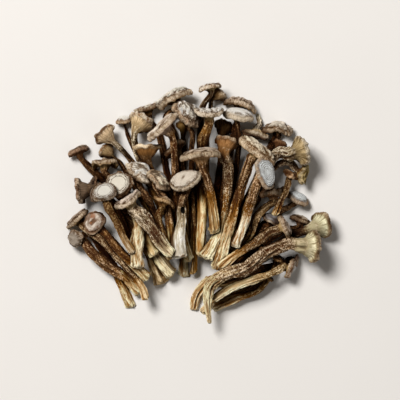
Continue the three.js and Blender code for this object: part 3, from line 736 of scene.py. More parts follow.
class Drying:
    """Shrivels one smooth skin: furrows along the stem, folds under the cap, a ragged rim and a torn foot."""

    PLEATS = 18
    TWIST = 0.012
    GRIP = 4.2
    REACH = (0.3, 0.4, 0.7, 0.95, 1.0, 0.92, 0.5, 0.0)
    FOOT_ROWS = 14
    TOE_ROW = 12
    PLACE_NOISE = 7.3
    HOLE_DEPTH = 1.8

    def __init__(self, skin: Skin, habit: Habit, number: int) -> None:
        """Sorts the skin's points into stem, underside, rim and top.

        Args:
            skin: the smooth surface.
            habit: how the mushroom dried.
            number: its place in the bunch, which picks its noise.
        """
        self.skin, self.habit, self.number, self.seed = skin, habit, number, number * 17
        rows, columns = skin.points.shape[:2]
        self.turn = np.broadcast_to(2 * math.pi * np.arange(columns) / columns, (rows, columns))
        self.part, self.along, self.length = (
            np.broadcast_to(values[:, None], (rows, columns))
            for values in (skin.part, skin.along, skin.length)
        )
        spokes = skin.points - skin.points.mean(axis=1, keepdims=True)
        radius = np.linalg.norm(spokes, axis=2)
        self.outward = spokes / np.maximum(radius[..., None], 1e-6)
        self.normals = skin.normals()
        self.radius = np.broadcast_to(radius.mean(axis=1, keepdims=True), radius.shape)
        self.rim_radius = float(self.radius[np.abs(skin.part - 4).argmin(), 0])
        self.grip = np.minimum(self.radius, self.GRIP)
        neck = np.abs(skin.part - 1).argmin()
        axis = skin.points[-1, 0] - skin.points[neck].mean(axis=0)
        self.axis = axis / np.linalg.norm(axis)
        self.below = (self.length - float(skin.length[neck])) / self.rim_radius
        self.reach = np.interp(self.part, np.arange(len(self.REACH)), self.REACH)
        bell = habit.bell
        self.stem = 1 - ease(0.2, 1.2, self.part)
        self.under = ease(0.2, 1.2, self.part) * (1 - ease(3.0, 3.6, self.part))
        self.rim = ease(2.6 - 0.3 * bell, 3.4 - 0.5 * bell, self.part) * (1 - ease(4.4, 5.3, self.part))
        self.top = ease(4.2, 5.0, self.part)
        self.flat = np.stack(
            [np.cos(self.turn) * self.reach, np.sin(self.turn) * self.reach, self.top * 3.0], axis=-1
        ) * self.rim_radius
        self.frills = self._ribs(Ribs.FRILLS)
        self.marks: dict[str, np.ndarray] = {}

    def shrivel(self) -> np.ndarray:
        """Moves the points, and works out the marks that the finish reads.

        Returns:
            The moved points, in the grid's shape.
        """
        habit, stem, grip = self.habit, self.stem, self.grip
        lift = (self._stem_lift() + self._cap_lift()) * habit.wrinkle
        # relief: the wrinkles' height from -1 to 1; the finish paints highlights on its ridges and shade in
        # its grooves
        relief = (lift - 0.1 * stem * grip) / (0.2 * grip + 0.3) / max(habit.wrinkle, 0.5)
        lift += self._form_lift()
        points = self.skin.points + self.normals * lift[..., None] + self._rim_shift() + self._foot_shift()
        hole = self._patches(points, habit.holes, (0.75, 1.25), 0.0)
        points -= self.normals * (hole * self.HOLE_DEPTH)[..., None]
        covered = (1 - self.under - self.rim - self.top).clip(0, 1)
        flare = habit.bell * ease(-0.9, -0.25, self.below + 0.3 * self._ribs(Ribs.FLARE_EDGE))
        self.marks = {
            "along": self.along,
            "reach": self.reach,
            "under": np.maximum(self.under, flare * covered),
            "rim": self.rim,
            "lip": hump(3.85, 0.5, self.part + 0.4 * self.frills),
            "top": self.top,
            "relief": np.clip(relief, -1, 1),
            "hole": hole,
            "spot": self._patches(points, habit.spots, (0.6, 1.3), 0.3),
            "cut": 1 - ease(-0.03, 0.01, self.along),
            "grain": np.stack(
                [np.cos(self.turn) * self.radius, np.sin(self.turn) * self.radius, self.length], axis=-1
            ),
        }
        return points

    def _ribs(self, ribs: Ribs) -> np.ndarray:
        """Reads a noise that runs lengthways.

        Args:
            ribs: which one.

        Returns:
            Numbers from -1 to 1, in the grid's shape.
        """
        wide, long, shift = ribs.value
        twisted = self.turn + self.TWIST * self.length
        spot = np.stack([np.cos(twisted) * wide, np.sin(twisted) * wide, self.length / long], axis=-1)
        return rumple(spot + self.PLACE_NOISE * shift, self.seed + shift)

    def _stem_lift(self) -> np.ndarray:
        """Furrows, creases and threads along the stem.

        Returns:
            How far each point rises, in millimetres.
        """
        furrows, creases, threads = (
            0.55 - 2 * np.abs(self._ribs(ribs)) for ribs in (Ribs.FURROWS, Ribs.CREASES, Ribs.THREADS)
        )
        ridges = 0.1 + 0.2 * furrows + 0.12 * creases + 0.045 * threads
        ridges += 0.08 * self._ribs(Ribs.LUMPS) + 0.07 * self._ribs(Ribs.PIMPLES)
        half = np.full_like(self.length, 0.5)
        ridges += 0.16 * rumple(np.stack([self.length / 8, half, half], axis=-1), self.seed + 24)
        ridges -= 0.75 * (1 - ease(0.15, 0.6, self.along)) * ease(0.2, 0.6, self._ribs(Ribs.HOLLOWS))
        return self.stem * self.grip * ridges

    def _cap_lift(self) -> np.ndarray:
        """Folds under the cap, and crimps and fine wrinkles on its top and rim.

        Returns:
            How far each point rises, in millimetres.
        """
        reach, flat = self.reach, self.flat
        pleats = np.abs(np.sin(self.PLEATS * self.turn / 2 + 1.6 * self._ribs(Ribs.PLEAT_SWAY))) * 2 - 1
        folds = 0.3 * (1 - 0.8 * self.habit.bell) * pleats
        folds += 0.5 * self._ribs(Ribs.GILL_FOLDS) + 0.15 * self._ribs(Ribs.GILL_THREADS)
        bearing = GOLDEN_ANGLE * self.number
        across, by = math.cos(bearing), math.sin(bearing)
        lanes = flat @ np.array([[across, -by, 0.0], [by, across, 0.0], [0.0, 0.0, 1.0]]) / (7, 1.9, 4)
        crimps = 3.0 * np.abs(rumple(lanes, self.seed + 8)) - 0.9
        dents = 0.5 * rumple(flat / 6.0, self.seed + 7) + (0.45 - 0.15 * self.rim) * crimps
        dents += 0.16 * rumple(flat / 1.3, self.seed + 21)
        calm = 1 - self.habit.flesh.clean * (1 - 0.4 * ease(0.7, 0.95, reach)) * self.top
        edge = 0.2 * self._ribs(Ribs.RIM_SWELLS) + 0.1 * (1 - 3 * np.abs(self._ribs(Ribs.RIM_NICKS)))
        lift = self.under * (0.25 + 0.75 * reach) * folds
        lift += (self.rim + self.top) * calm * dents
        return lift + (self.rim + 0.6 * self.top) * edge * ease(0.4, 0.9, reach)

    def _form_lift(self) -> np.ndarray:
        """The larger forms: the top's rings and dish, the hollow under the cap, the flare and the rolled rim.

        Returns:
            How far each point rises, in millimetres.
        """
        habit, part, size = self.habit, self.part, self.rim_radius
        waves = np.sin(self.reach * size * 3.6 + 1.4 * rumple(self.flat / 4.0, self.seed + 10))
        rings = habit.flesh.rings * 0.4 * waves * ease(0.45, 0.62, self.reach)
        dish = habit.dish * 0.08 * size * (1 - ease(0.45, 0.7, self.reach))
        hollow = np.sin(math.pi * np.clip((part - 0.3) / 2.4, 0, 1)) * (0.12 - 0.12 * habit.bell)
        flare = habit.bell * 0.13 * hump(0.05, 0.38, self.below)
        roll = (0.05 + 0.05 * habit.bell) * hump(3.3 - 0.25 * habit.bell, 0.45, part)
        roll -= 0.05 * hump(4.8, 0.4, part)
        return self.top * (rings - dish) + size * (flare + roll - hollow)

    def _rim_shift(self) -> np.ndarray:
        """How the rim waves up and down, reaches in and out, and is bitten off.

        Returns:
            Each point's shift.
        """
        wave, tear = self.habit.wave, self.habit.tear
        edge = ease(1.2, 3.2, self.part) * (1 - ease(4.6, 6.4, self.part))
        up = wave * (0.14 * self._ribs(Ribs.LOBES) + 0.07 * self.frills)
        bites = tear * ease(0.2, 0.6, self._ribs(Ribs.BITES))
        bites += 0.25 * tear * ease(0.0, 0.5, self._ribs(Ribs.NIBBLES))
        out = 0.04 * hump(4.0, 0.35, self.part) + 0.07 * wave * self._ribs(Ribs.BULGES)
        out += 0.025 * self.frills - 0.2 * bites
        shift = self.axis * up[..., None] + self.outward * out[..., None]
        return (self.rim_radius * edge)[..., None] * shift

    def _foot_shift(self) -> np.ndarray:
        """How far the torn fibres of the foot stand out along the stem.

        Returns:
            Each point's shift.
        """
        points, width = self.skin.points, float(self.radius[: self.FOOT_ROWS, 0].max())
        heading = points[self.TOE_ROW].mean(axis=0) - points[0].mean(axis=0)
        heading /= np.linalg.norm(heading)
        start = self.length[0] + 0.5 * float(self.radius[3, 0])
        torn = self.habit.foot_tear * (1 - ease(0.0, 6.0, self.length - start))
        rags = 2.0 * self._ribs(Ribs.RAGS) + 1.7 * self._ribs(Ribs.SHREDS) + 1.1
        return heading * (torn * rags * self.radius / max(width, 1e-6))[..., None]

    def _patches(self, points: np.ndarray, places: Discs, fade: Span, ragged: float) -> np.ndarray:
        """Round patches on the upward side of the skin.

        Args:
            points: where the skin is.
            places: the x, y and radius of each patch.
            fade: where a patch starts to fade and where it ends, in radii.
            ragged: how uneven its outline is, in radii.

        Returns:
            Numbers from 0 to 1, in the grid's shape.
        """
        found = np.zeros(points.shape[:2])
        for x, y, size in places:
            away = np.hypot(points[..., 0] - x, points[..., 1] - y)
            away += ragged * size * rumple(points / 1.2, self.seed + 23)
            inside = (1 - ease(fade[0] * size, fade[1] * size, away)) * ease(0.0, 0.3, self.normals[..., 2])
            found = np.maximum(found, inside)
        return found


@dataclass
class Mushroom:
    """One dried mushroom: builds its fine mesh over its solid, and carries what its finish reads."""

    NARROW = 15.0
    BROAD = 21.0

    solid: Solid
    pile: Pile
    habit: Habit
    number: int

    def build(self) -> bpy.types.Object:
        """Models the mushroom.

        Returns:
            The finished mesh object, with its place in its mesh.
        """
        ring = self.solid.rings[-3]
        width = 2 * np.linalg.norm(ring - ring.mean(axis=0), axis=1).max()
        size = Rows.SMALL if width < self.NARROW else Rows.WIDE if width > self.BROAD else Rows.MIDDLING
        columns, pitch = size.value
        skin = Skin(self.solid, columns, pitch)
        drying = Drying(skin, self.habit, self.number)
        points = drying.shrivel()
        points[..., 2] = np.maximum(points[..., 2], 0.0)
        # depth: how little light reaches each point past the other mushrooms; the finish paints shade from it
        return self._mesh(points, drying.marks | {"depth": self.pile.depth(skin.points, drying.normals)})

    def _mesh(self, points: np.ndarray, marks: dict[str, np.ndarray]) -> bpy.types.Object:
        """Adds a sphere with the grid's rows and columns, and shapes it into the mushroom.

        Args:
            points: the grid's points.
            marks: what the finish reads at each of them.

        Returns:
            The mesh object, smooth, with its marks.
        """
        rows, columns = points.shape[:2]
        bpy.ops.object.select_all(action="DESELECT")
        bpy.ops.mesh.primitive_uv_sphere_add(segments=columns, ring_count=rows - 1, radius=1.0, calc_uvs=True)
        piece = bpy.context.object
        piece.name = f"{self.solid.node}_flesh"
        mesh = piece.data
        mesh.name = piece.name
        ball = np.empty(len(mesh.vertices) * 3)
        mesh.vertices.foreach_get("co", ball)
        ball = ball.reshape(-1, 3)
        up, round_it = np.arccos(np.clip(ball[:, 2], -1, 1)), np.arctan2(ball[:, 1], ball[:, 0])
        row = np.rint((1 - up / math.pi) * (rows - 1)).astype(int)
        column = np.rint(round_it / (2 * math.pi) * columns).astype(int) % columns
        column[(row == 0) | (row == rows - 1)] = 0
        mesh.vertices.foreach_set("co", (points[row, column] * MM).ravel())
        for name, values in marks.items():
            if values.ndim == 3:
                mark = mesh.attributes.new(name, "FLOAT_VECTOR", "POINT")
                mark.data.foreach_set("vector", values[row, column].astype(np.float32).ravel())
            else:
                mark = mesh.attributes.new(name, "FLOAT", "POINT")
                mark.data.foreach_set("value", values[row, column].astype(np.float32))
        bpy.ops.object.shade_smooth()
        mesh.update()
        return piece


class Bench:
    """Lays out the nodes of one tree."""

    def __init__(self, tree: bpy.types.NodeTree) -> None:
        """Starts on a tree.

        Args:
            tree: the material's or the group's node tree.
        """
        self.tree = tree
        self.tree.nodes.clear()

    def feed(self, socket: Socket, value: Any) -> None:
        """Links a socket to another, or sets its value.

        Args:
            socket: the input.
            value: the socket that feeds it, or its value.
        """
        if isinstance(value, Socket):
            self.tree.links.new(value, socket)
        else:
            socket.default_value = value

    def add(self, kind: str, inputs: dict[str | int, Any] | None = None, **settings: Any) -> bpy.types.Node:
        """Adds a node, with its settings, and values or links for its inputs.

        Args:
            kind: the node's type.
            inputs: for an input's name or number, the value or the socket that feeds it.
            settings: properties of the node itself.

        Returns:
            The node.
        """
        node = self.tree.nodes.new(kind)
        for name, value in settings.items():
            setattr(node, name, value)
        for key, value in (inputs or {}).items():
            self.feed(node.inputs[key], value)
        return node

    def mark(self, name: str, output: str = "Fac") -> Socket:
        """Reads an attribute of the mesh."""
        return self.add("ShaderNodeAttribute", attribute_name=name).outputs[output]

    def reckon(self, operation: str, *numbers: Any) -> Socket:
        """Works out a number.

        Args:
            operation: the Math node's operation.
            numbers: its numbers or sockets, in order.

        Returns:
            The result.
        """
        return self.add("ShaderNodeMath", dict(enumerate(numbers)), operation=operation).outputs[0]

    def times(self, first: Any, second: Any) -> Socket:
        """The product of two numbers or sockets."""
        return self.reckon("MULTIPLY", first, second)

    def plus(self, first: Any, second: Any) -> Socket:
        """The sum of two numbers or sockets."""
        return self.reckon("ADD", first, second)

    def minus(self, first: Any, second: Any) -> Socket:
        """The difference between two numbers or sockets."""
        return self.reckon("SUBTRACT", first, second)

    def weigh(self, *pairs: tuple[Any, float]) -> Socket:
        """Adds up sockets, each times its weight.

        Args:
            pairs: each socket with its weight.

        Returns:
            The total.
        """
        total = self.times(*pairs[0])
        for value, weight in pairs[1:]:
            total = self.plus(total, self.times(value, weight))
        return total

    def about(self, value: Any, weight: float) -> Socket:
        """How far a value lies from a half, times a weight."""
        return self.times(self.minus(value, 0.5), weight)

    def step(self, value: Any, low: float, high: float) -> Socket:
        """A smooth step.

        Args:
            value: the socket to read.
            low: where the step is 0.
            high: where it is 1.

        Returns:
            The step.
        """
        inputs = {"Value": value, "From Min": low, "From Max": high}
        return self.add("ShaderNodeMapRange", inputs, interpolation_type="SMOOTHSTEP").outputs["Result"]

    def tint(self, base: Any, mask: Any, over: Any, strength: float = 1.0, mode: str = "MIX") -> Socket:
        """Lays one colour over another.

        Args:
            base: the colour or socket below.
            mask: where the other one shows, from 0 to 1.
            over: the colour or socket above.
            strength: how much of it shows at most.
            mode: the Mix node's blend type.

        Returns:
            The colour.
        """
        share = mask if strength == 1.0 else self.times(mask, strength)
        node = self.add("ShaderNodeMix", data_type="RGBA", blend_type=mode, clamp_factor=True)
        for place, value in ((0, share), (6, base), (7, over)):
            self.feed(node.inputs[place], value)
        return node.outputs[2]

    def noise(self, vector: Any, scale: float, detail: float, stretch: Place = (1.0, 1.0, 1.0)) -> Socket:
        """Noise on a stretched vector.

        Args:
            vector: the socket with the place.
            scale: the noise's scale.
            detail: its detail.
            stretch: what each part of the place is multiplied by.

        Returns:
            The noise's value.
        """
        place = self.add("ShaderNodeVectorMath", {0: vector, 1: stretch}, operation="MULTIPLY").outputs[0]
        inputs = {"Vector": place, "Scale": scale, "Detail": detail, "Roughness": 0.6}
        return self.add("ShaderNodeTexNoise", inputs).outputs["Fac"]


class Groups:
    """The shared effects, as shader node groups."""

    def __init__(self) -> None:
        """Builds every group once."""
        self.hide = self._hide()
        self.gills = self._gills()
        self.crust = self._crust()
        self.aged = self._aged()

    @staticmethod
    def _start(name: str, inputs: dict[str, str]) -> tuple[Bench, Any]:
        """Starts a group.

        Args:
            name: the group's name.
            inputs: each input's name and socket type.

        Returns:
            The group's bench, and the outputs of its input node.
        """
        tree = bpy.data.node_groups.new(name, "ShaderNodeTree")
        for label, kind in inputs.items():
            tree.interface.new_socket(name=label, in_out="INPUT", socket_type=kind)
        bench = Bench(tree)
        return bench, bench.add("NodeGroupInput").outputs

    @staticmethod
    def _end(bench: Bench, kind: str, made: dict[str, Socket]) -> bpy.types.NodeTree:
        """Ends a group.

        Args:
            bench: the group's bench.
            kind: the type of all its outputs.
            made: each output's name, and the socket that feeds it.

        Returns:
            The group.
        """
        for label in made:
            bench.tree.interface.new_socket(name=label, in_out="OUTPUT", socket_type=kind)
        bench.add("NodeGroupOutput", made)
        return bench.tree

    def _hide(self) -> bpy.types.NodeTree:
        """Stem skin that dried and split into flecks along the grain.

        Returns:
            The group, which gives masks for the flecks and the fibres, and a height.
        """
        bench, given = self._start("dried_hide", {"Grain": VECTOR, "Flecks": NUMBER, "Relief": NUMBER})
        grain = given["Grain"]
        split = bench.noise(grain, 1.2, 2.0, (1.0, 1.0, 0.75))
        fine = bench.noise(grain, 2.6, 2.0, (1.0, 1.0, 0.7))
        fibre = bench.noise(grain, 1.7, 3.0, (1.0, 1.0, 0.06))
        mixed = bench.weigh((split, 0.55), (fine, 0.3), (fibre, 0.15))
        raised = bench.plus(mixed, bench.times(given["Relief"], 0.09))
        level = bench.plus(raised, bench.about(given["Flecks"], 0.3))
        made = {
            "Fleck": bench.step(level, 0.455, 0.54),
            "Bright": bench.step(level, 0.525, 0.6),
            "Fibre": fibre,
            "Height": bench.weigh((mixed, 0.9), (fibre, 0.6)),
        }
        return self._end(bench, NUMBER, made)

    def _gills(self) -> bpy.types.NodeTree:
        """Uneven gills that run out from the stem to the rim.

        Returns:
            The group, which gives a mask for the gills, and a height.
        """
        bench, given = self._start("gills", dict.fromkeys(("Turn", "Count", "Reach"), NUMBER))
        aside = bench.times(given["Turn"], given["Count"])
        outward = bench.times(given["Reach"], 1.6)
        place = bench.add("ShaderNodeCombineXYZ", {0: aside, 1: outward}).outputs[0]
        streak = bench.noise(place, 1.0, 2.0)
        return self._end(bench, NUMBER, {"Line": bench.step(streak, 0.4, 0.56), "Height": streak})

    def _crust(self) -> bpy.types.NodeTree:
        """The top of a cap: mottled and cracked, with rings that run round it.

        Returns:
            The group, which gives masks for the stains and the rings, and a height.
        """
        numbers = dict.fromkeys(("Reach", "Rings", "Core", "Clean", "Mottle", "Relief"), NUMBER)
        bench, given = self._start("cap_crust", numbers | {"Grain": VECTOR})
        grain, reach = given["Grain"], given["Reach"]
        patch = bench.noise(grain, 0.3, 2.0)
        speck = bench.noise(grain, 1.3, 4.0)
        thread = bench.noise(grain, 0.95, 3.0, (1.5, 0.6, 0.6))
        centre = bench.minus(1.0, bench.step(reach, 0.62, 0.95))
        soiled = bench.minus(1.0, bench.times(centre, given["Clean"]))

        level = bench.minus(bench.weigh((patch, 0.45), (speck, 0.55)), bench.about(thread, 0.45))
        level = bench.minus(level, bench.times(given["Relief"], 0.09))
        level = bench.plus(level, bench.about(given["Mottle"], 0.25))
        level = bench.plus(level, bench.times(bench.step(reach, 0.45, 1.0), 0.1))
        stain = bench.times(bench.step(level, 0.52, 0.63), soiled)

        circle = bench.weigh((reach, 48.0), (bench.noise(grain, 0.4, 1.0), 10.0))
        groove = bench.step(bench.reckon("SINE", circle), 0.25, 0.85)
        inner = bench.step(bench.minus(reach, given["Core"]), 0.0, 0.18)
        ring = bench.times(groove, bench.times(inner, given["Rings"]))

        wobble = bench.add("ShaderNodeTexNoise", {"Vector": grain, "Scale": 0.9, "Detail": 2.0})
        bent = {0: wobble.outputs["Color"], 1: (2.6, 2.6, 2.6), 2: grain}
        place = bench.add("ShaderNodeVectorMath", bent, operation="MULTIPLY_ADD").outputs[0]
        cell = bench.add("ShaderNodeTexVoronoi", {"Vector": place, "Scale": 0.8}, feature="DISTANCE_TO_EDGE")
        crack = bench.times(bench.step(cell.outputs["Distance"], 0.085, 0.015), bench.step(patch, 0.4, 0.55))
        crack = bench.times(crack, soiled)
        made = {
            "Stain": bench.reckon("MAXIMUM", stain, bench.times(crack, 0.85)),
            "Ring": ring,
            "Height": bench.weigh((speck, 0.8), (thread, 1.2), (ring, -0.5), (crack, -0.5)),
        }
        return self._end(bench, NUMBER, made)

    def _aged(self) -> bpy.types.NodeTree:
        """Drying: what is dark turns a deeper brown, and what is pale turns chalky.

        Returns:
            The group, which gives the toned colour.
        """
        bench, given = self._start("aged_tone", {"Colour": COLOUR})
        bright = bench.add("ShaderNodeRGBToBW", {"Color": given["Colour"]}).outputs[0]
        hue, depth = (
            bench.add(
                "ShaderNodeMapRange",
                {"Value": bright, "From Min": low, "From Max": high, "To Min": dark, "To Max": pale},
            ).outputs["Result"]
            for low, high, dark, pale in ((0.03, 0.4, 0.496, 0.5), (0.1, 0.78, 1.06, 0.66))
        )
        inputs = {"Hue": hue, "Saturation": depth, "Color": given["Colour"]}
        toned = bench.add("ShaderNodeHueSaturation", inputs).outputs["Color"]
        return self._end(bench, COLOUR, {"Colour": toned})


class Finish:
    """The material of one mushroom, in the colours of its flesh."""

    GILLS = 44.0
    # DUSK: the dark brown that the painted shade deep in the bunch multiplies in
    DUSK = (0.11, 0.055, 0.022, 1.0)
    # PITCH_DARK: the painted shade inside the holes
    PITCH_DARK = (0.004, 0.003, 0.002, 1.0)
    BUMP = 0.0011

    def __init__(self, name: str, flesh: Flesh, groups: Groups) -> None:
        """Starts the material, and reads what the mesh carries.

        Args:
            name: the material's name.
            flesh: the mushroom's colours.
            groups: the shared effects.
        """
        self.flesh, self.groups = flesh, groups
        self.product = bpy.data.materials.new(name)
        self.product.use_nodes = True
        bench = self.bench = Bench(self.product.node_tree)
        self.grain = bench.mark("grain", "Vector")
        self.relief, self.reach, self.along = bench.mark("relief"), bench.mark("reach"), bench.mark("along")
        self.under, self.top = bench.mark("under"), bench.mark("top")
        turn = bench.add("ShaderNodeSeparateXYZ", {0: bench.add("ShaderNodeUVMap").outputs[0]}).outputs[0]
        hide = {"Grain": self.grain, "Flecks": flesh.flecks, "Relief": self.relief}
        crust = {"Grain": self.grain, "Reach": self.reach, "Rings": flesh.rings, "Core": flesh.core}
        crust |= {"Clean": flesh.clean, "Mottle": flesh.mottle, "Relief": self.relief}
        gills = {"Turn": turn, "Count": self.GILLS, "Reach": self.reach}
        self.hide, self.crust, self.gills = (
            bench.add("ShaderNodeGroup", inputs, node_tree=tree).outputs
            for tree, inputs in ((groups.hide, hide), (groups.crust, crust), (groups.gills, gills))
        )
        self.patch = bench.noise(self.grain, 0.33, 2.0, (1.0, 1.0, 0.35))
        fibre = self.fibre = self.hide["Fibre"]
        frayed = bench.plus(self.along, bench.about(fibre, 0.75))
        self.bare = bench.plus(frayed, bench.about(self.patch, 0.6))
        # the ridges of the relief, where the foot and the cap get a painted highlight
        self.raised = bench.step(self.relief, 0.05, 0.5)

    def material(self) -> bpy.types.Material:
        """Builds the material.

        Returns:
            The material.
        """
        bench, flesh, cream = self.bench, self.flesh, self.flesh.cream
        colour = bench.tint(self._foot(), bench.step(self.bare, cream * 0.45, cream * 0.85), self._gold())
        colour = bench.tint(colour, bench.step(self.bare, cream * 0.85, cream * 1.15), self._stem())
        colour = bench.tint(colour, self.under, self._underside())
        colour = bench.tint(colour, self.top, self._skin())
        rim = bench.tint(paint(flesh.rim), self.crust["Stain"], shade(flesh.stain, 0.8))
        colour = bench.tint(colour, bench.mark("rim"), rim, 0.85)
        # the pale line under the rim's edge: partly its own pale colour, partly a painted highlight on the
        # edge
        lip = bench.times(bench.mark("lip"), bench.step(self.fibre, 0.35, 0.6))
        colour = bench.tint(colour, lip, paint(flesh.lip), 0.5)
        colour = bench.tint(colour, bench.mark("cut"), shade(flesh.foot, 0.7), 0.8)
        colour = self._shadowed(colour)
        colour = bench.tint(colour, bench.mark("spot"), paint(flesh.spot), 0.8)
        # painted shade: each hole, only a shallow dent, is coloured pitch dark inside
        colour = bench.tint(colour, bench.step(bench.mark("hole"), 0.35, 0.6), self.PITCH_DARK)
        aged = bench.add("ShaderNodeGroup", {"Colour": colour}, node_tree=self.groups.aged)
        bump = bench.add("ShaderNodeBump", {"Strength": 0.9, "Distance": self.BUMP, "Height": self._height()})
        inputs = {
            "Base Color": aged.outputs["Colour"],
            "Roughness": bench.reckon("MULTIPLY_ADD", self.hide["Fleck"], 0.14, 0.74),
            "Normal": bump.outputs[0],
            "Specular IOR Level": 0.06,
        }
        shader = bench.add("ShaderNodeBsdfPrincipled", inputs)
        bench.add("ShaderNodeOutputMaterial", {"Surface": shader.outputs[0]})
        return self.product

    def _stem(self) -> Socket:
        """The stem's colour: dark skin under pale flecks, dusty here and gold there.

        Returns:
            The colour.
        """
        bench, flesh = self.bench, self.flesh
        dust = bench.step(self.patch, 0.4, 0.6)
        stem = bench.tint(paint(flesh.stem), dust, shade(flesh.fleck, 0.19, warm=0.12), 0.55)
        stem = bench.tint(stem, self.hide["Fleck"], shade(flesh.fleck, 0.4, warm=0.16))
        stem = bench.tint(stem, self.hide["Bright"], shade(flesh.fleck, 1.3))
        return bench.tint(stem, bench.step(self.patch, 0.5, 0.68), shade(flesh.gold, 0.8), 0.3)

    def _gold(self) -> Socket:
        """The colour of the bare flesh between the foot and the skin.

        Returns:
            The colour.
        """
        bench, flesh = self.bench, self.flesh
        gold = bench.tint(shade(flesh.gold, 0.3), self.hide["Fleck"], shade(flesh.gold, 0.95))
        gold = bench.tint(gold, self.hide["Bright"], shade(flesh.foot, 0.7))
        return bench.tint(gold, bench.step(self.fibre, 0.52, 0.64), shade(flesh.gold, 1.6), 0.5)

    def _foot(self) -> Socket:
        """The foot's colour: pale fibres over gold ones, with cracks between, and a painted highlight on the
        ridges.

        Returns:
            The colour.
        """
        bench, flesh, patch = self.bench, self.flesh, self.patch
        threads = bench.step(self.fibre, 0.38, 0.58)
        foot = bench.tint(shade(flesh.gold, 1.3, warm=-0.35), threads, paint(flesh.foot))
        foot = bench.tint(foot, bench.step(patch, 0.47, 0.36), shade(flesh.gold, 1.5, warm=-0.2), 0.45)
        foot = bench.tint(foot, bench.step(patch, 0.5, 0.62), shade(flesh.foot, 1.25), 0.6)
        # painted highlight on the foot's ridges
        foot = bench.tint(foot, self.raised, shade(flesh.foot, 1.35), 0.6)
        crack = bench.noise(self.grain, 1.7, 3.0, (1.0, 1.0, 0.16))
        return bench.tint(foot, bench.step(crack, 0.45, 0.38), shade(flesh.gold, 0.5), 0.55)

    def _underside(self) -> Socket:
        """The colour of the gills, with painted shade in the gaps between them and towards the stem.

        Returns:
            The colour.
        """
        bench, flesh = self.bench, self.flesh
        # painted shade: the gaps between the gills get a shaded copy of the gill colour, the gills a lit one
        gaps = bench.minus(1.0, self.gills["Line"])
        under = bench.tint(shade(flesh.gills, 1.2), gaps, shade(flesh.gills, 0.42), flesh.lines)
        under = bench.tint(under, self.crust["Stain"], shade(flesh.gills, 0.4), 0.4)
        # painted shade under the middle of the cap, towards the stem
        return bench.tint(under, bench.step(self.reach, 0.8, 0.3), shade(flesh.gills, 0.5), flesh.lines)

    def _skin(self) -> Socket:
        """The colour of the top of the cap, with a painted highlight on its ridges.

        Returns:
            The colour.
        """
        bench, flesh = self.bench, self.flesh
        skin = bench.tint(paint(flesh.cap), self.crust["Stain"], paint(flesh.stain))
        # painted highlight on the cap's ridges
        skin = bench.tint(skin, self.raised, shade(flesh.cap, 1.4), 0.6)
        return bench.tint(skin, self.crust["Ring"], shade(flesh.stain, 0.7))

    def _shadowed(self, colour: Socket) -> Socket:
        """Paints shade: darkens the grooves, the creases, and what lies deep in the bunch.

        Args:
            colour: the colour in the open.

        Returns:
            The colour.
        """
        bench, flesh = self.bench, self.flesh
        # painted shade in the grooves of the relief: a darker stem brown, or a darker gold where the flesh is
        # bare
        pale = bench.step(self.bare, flesh.cream * 1.05, flesh.cream * 0.6)
        groove = bench.tint(shade(flesh.stem, 0.6), pale, shade(flesh.gold, 0.62))
        colour = bench.tint(colour, bench.step(self.relief, 0.05, -0.8), groove, 0.7)
        # painted shade in the creases on the top of the cap, in a darkened stain brown
        creased = bench.times(bench.step(self.relief, 0.0, -0.42), self.top)
        colour = bench.tint(colour, creased, shade(flesh.stain, 0.55), 0.75)
        # painted shade deep in the bunch, read from the depth mark
        return bench.tint(colour, bench.step(bench.mark("depth"), 0.18, 0.7), self.DUSK, 0.94, "MULTIPLY")

    def _height(self) -> Socket:
        """The fine relief: fibres everywhere, crust on top and gills underneath.

        Returns:
            The height, for a bump.
        """
        bench = self.bench
        crust = bench.times(self.crust["Height"], self.top)
        pleat = bench.times(bench.times(self.gills["Height"], self.under), self.flesh.lines)
        return bench.plus(bench.plus(self.hide["Height"], crust), pleat)


@dataclass(frozen=True)
class Lamp:
    """One soft lamp that looks at the bunch: where it hangs, in metres, how wide it is and its watts."""

    name: str
    place: Place
    size: float
    power: float


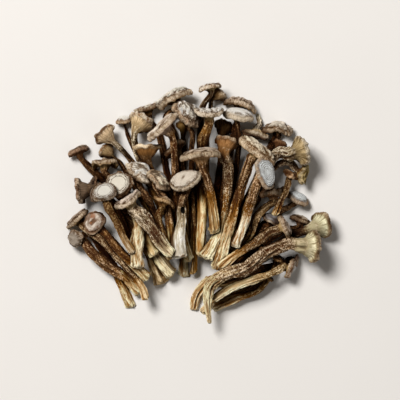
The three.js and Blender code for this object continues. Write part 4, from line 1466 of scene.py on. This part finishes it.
@dataclass
class Studio:
    """The floor, the light and the camera."""

    frame_width: float = 0.300
    middle: tuple[float, float] = (0.00054, 0.00233)
    height: float = 3.0
    bunch_height: float = 0.02
    floor_size: float = 6.0
    sensor: float = 36.0
    reach: float = 20.0
    lamps: tuple[Lamp, ...] = (
        Lamp("key", (-1.2, 1.35, 2.7), 1.1, 128.0),
        Lamp("fill", (1.8, -1.5, 2.4), 2.4, 11.0),
    )
    lamp_colour: Place = (1.0, 0.965, 0.92)
    sky_colour: Colour = (1.0, 0.91, 0.79, 1.0)
    sky_strength: float = 0.1

    def floor(self) -> bpy.types.Object:
        """Lays the pale surface that the bunch lies on.

        Returns:
            The floor.
        """
        bpy.ops.object.select_all(action="DESELECT")
        bpy.ops.mesh.primitive_plane_add(size=self.floor_size, location=(0, 0, 0))
        floor = bpy.context.object
        floor.name = "floor"
        material = bpy.data.materials.new("pale_board")
        material.use_nodes = True
        bench = Bench(material.node_tree)
        cloud = bench.noise(bench.add("ShaderNodeTexCoord").outputs["Object"], 9.0, 2.0)
        colour = bench.tint(paint("e4e3e2"), cloud, paint("e0dfde"))
        inputs = {"Base Color": colour, "Roughness": 0.9, "Specular IOR Level": 0.1}
        shader = bench.add("ShaderNodeBsdfPrincipled", inputs)
        bench.add("ShaderNodeOutputMaterial", {"Surface": shader.outputs[0]})
        floor.data.materials.append(material)
        return floor

    def light(self) -> None:
        """Hangs a soft key lamp at the back left and a weak one in front, in an even surround."""
        for lamp in self.lamps:
            data = bpy.data.lights.new(lamp.name, "AREA")
            data.size = lamp.size
            data.energy = lamp.power
            data.color = self.lamp_colour
            holder = bpy.data.objects.new(lamp.name, data)
            holder.location = lamp.place
            holder.rotation_euler = (-Vector(lamp.place)).to_track_quat("-Z", "Y").to_euler()
            bpy.context.collection.objects.link(holder)
        world = bpy.data.worlds.new("surround")
        world.use_nodes = True
        bench = Bench(world.node_tree)
        inputs = {"Color": self.sky_colour, "Strength": self.sky_strength}
        sky = bench.add("ShaderNodeBackground", inputs)
        bench.add("ShaderNodeOutputWorld", {"Surface": sky.outputs[0]})
        bpy.context.scene.world = world

    def camera(self) -> None:
        """Puts a long lens straight above the bunch, with the back of the fan at the top."""
        data = bpy.data.cameras.new("camera")
        data.sensor_width = self.sensor
        data.lens = self.sensor * (self.height - self.bunch_height) / self.frame_width
        data.clip_end = self.reach
        camera = bpy.data.objects.new("camera", data)
        camera.location = (*self.middle, self.height)
        bpy.context.collection.objects.link(camera)
        bpy.context.scene.camera = camera


def main() -> None:
    """Builds the looks and writes how large they came out."""
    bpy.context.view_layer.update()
    bpy.ops.object.select_all(action="DESELECT")
    bpy.context.scene.view_settings.view_transform = "Standard"
    studio = Studio()
    studio.camera()
    studio.light()
    studio.floor()
    slots = {part["node"]: part["material_slot"] for part in frame["record"]["subparts"]}
    groups = Groups()
    solids = [Solid(node) for node in sorted(slots)]
    pile = Pile(solids)
    faces = 0
    for number, solid in enumerate(solids):
        node = solid.node
        habit = HABITS[node]
        piece = Mushroom(solid, pile, habit, number).build()
        piece.data.materials.append(Finish(f"{node}_finish", habit.flesh, groups).material())
        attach(piece, "root")
        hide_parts(node)
        count = sum(len(polygon.vertices) - 2 for polygon in piece.data.polygons)
        faces += count
        LOG.info("%s: %d triangles", piece.name, count)
    LOG.info("the bunch: %d triangles", faces)


if __name__ == "__main__":
    main()
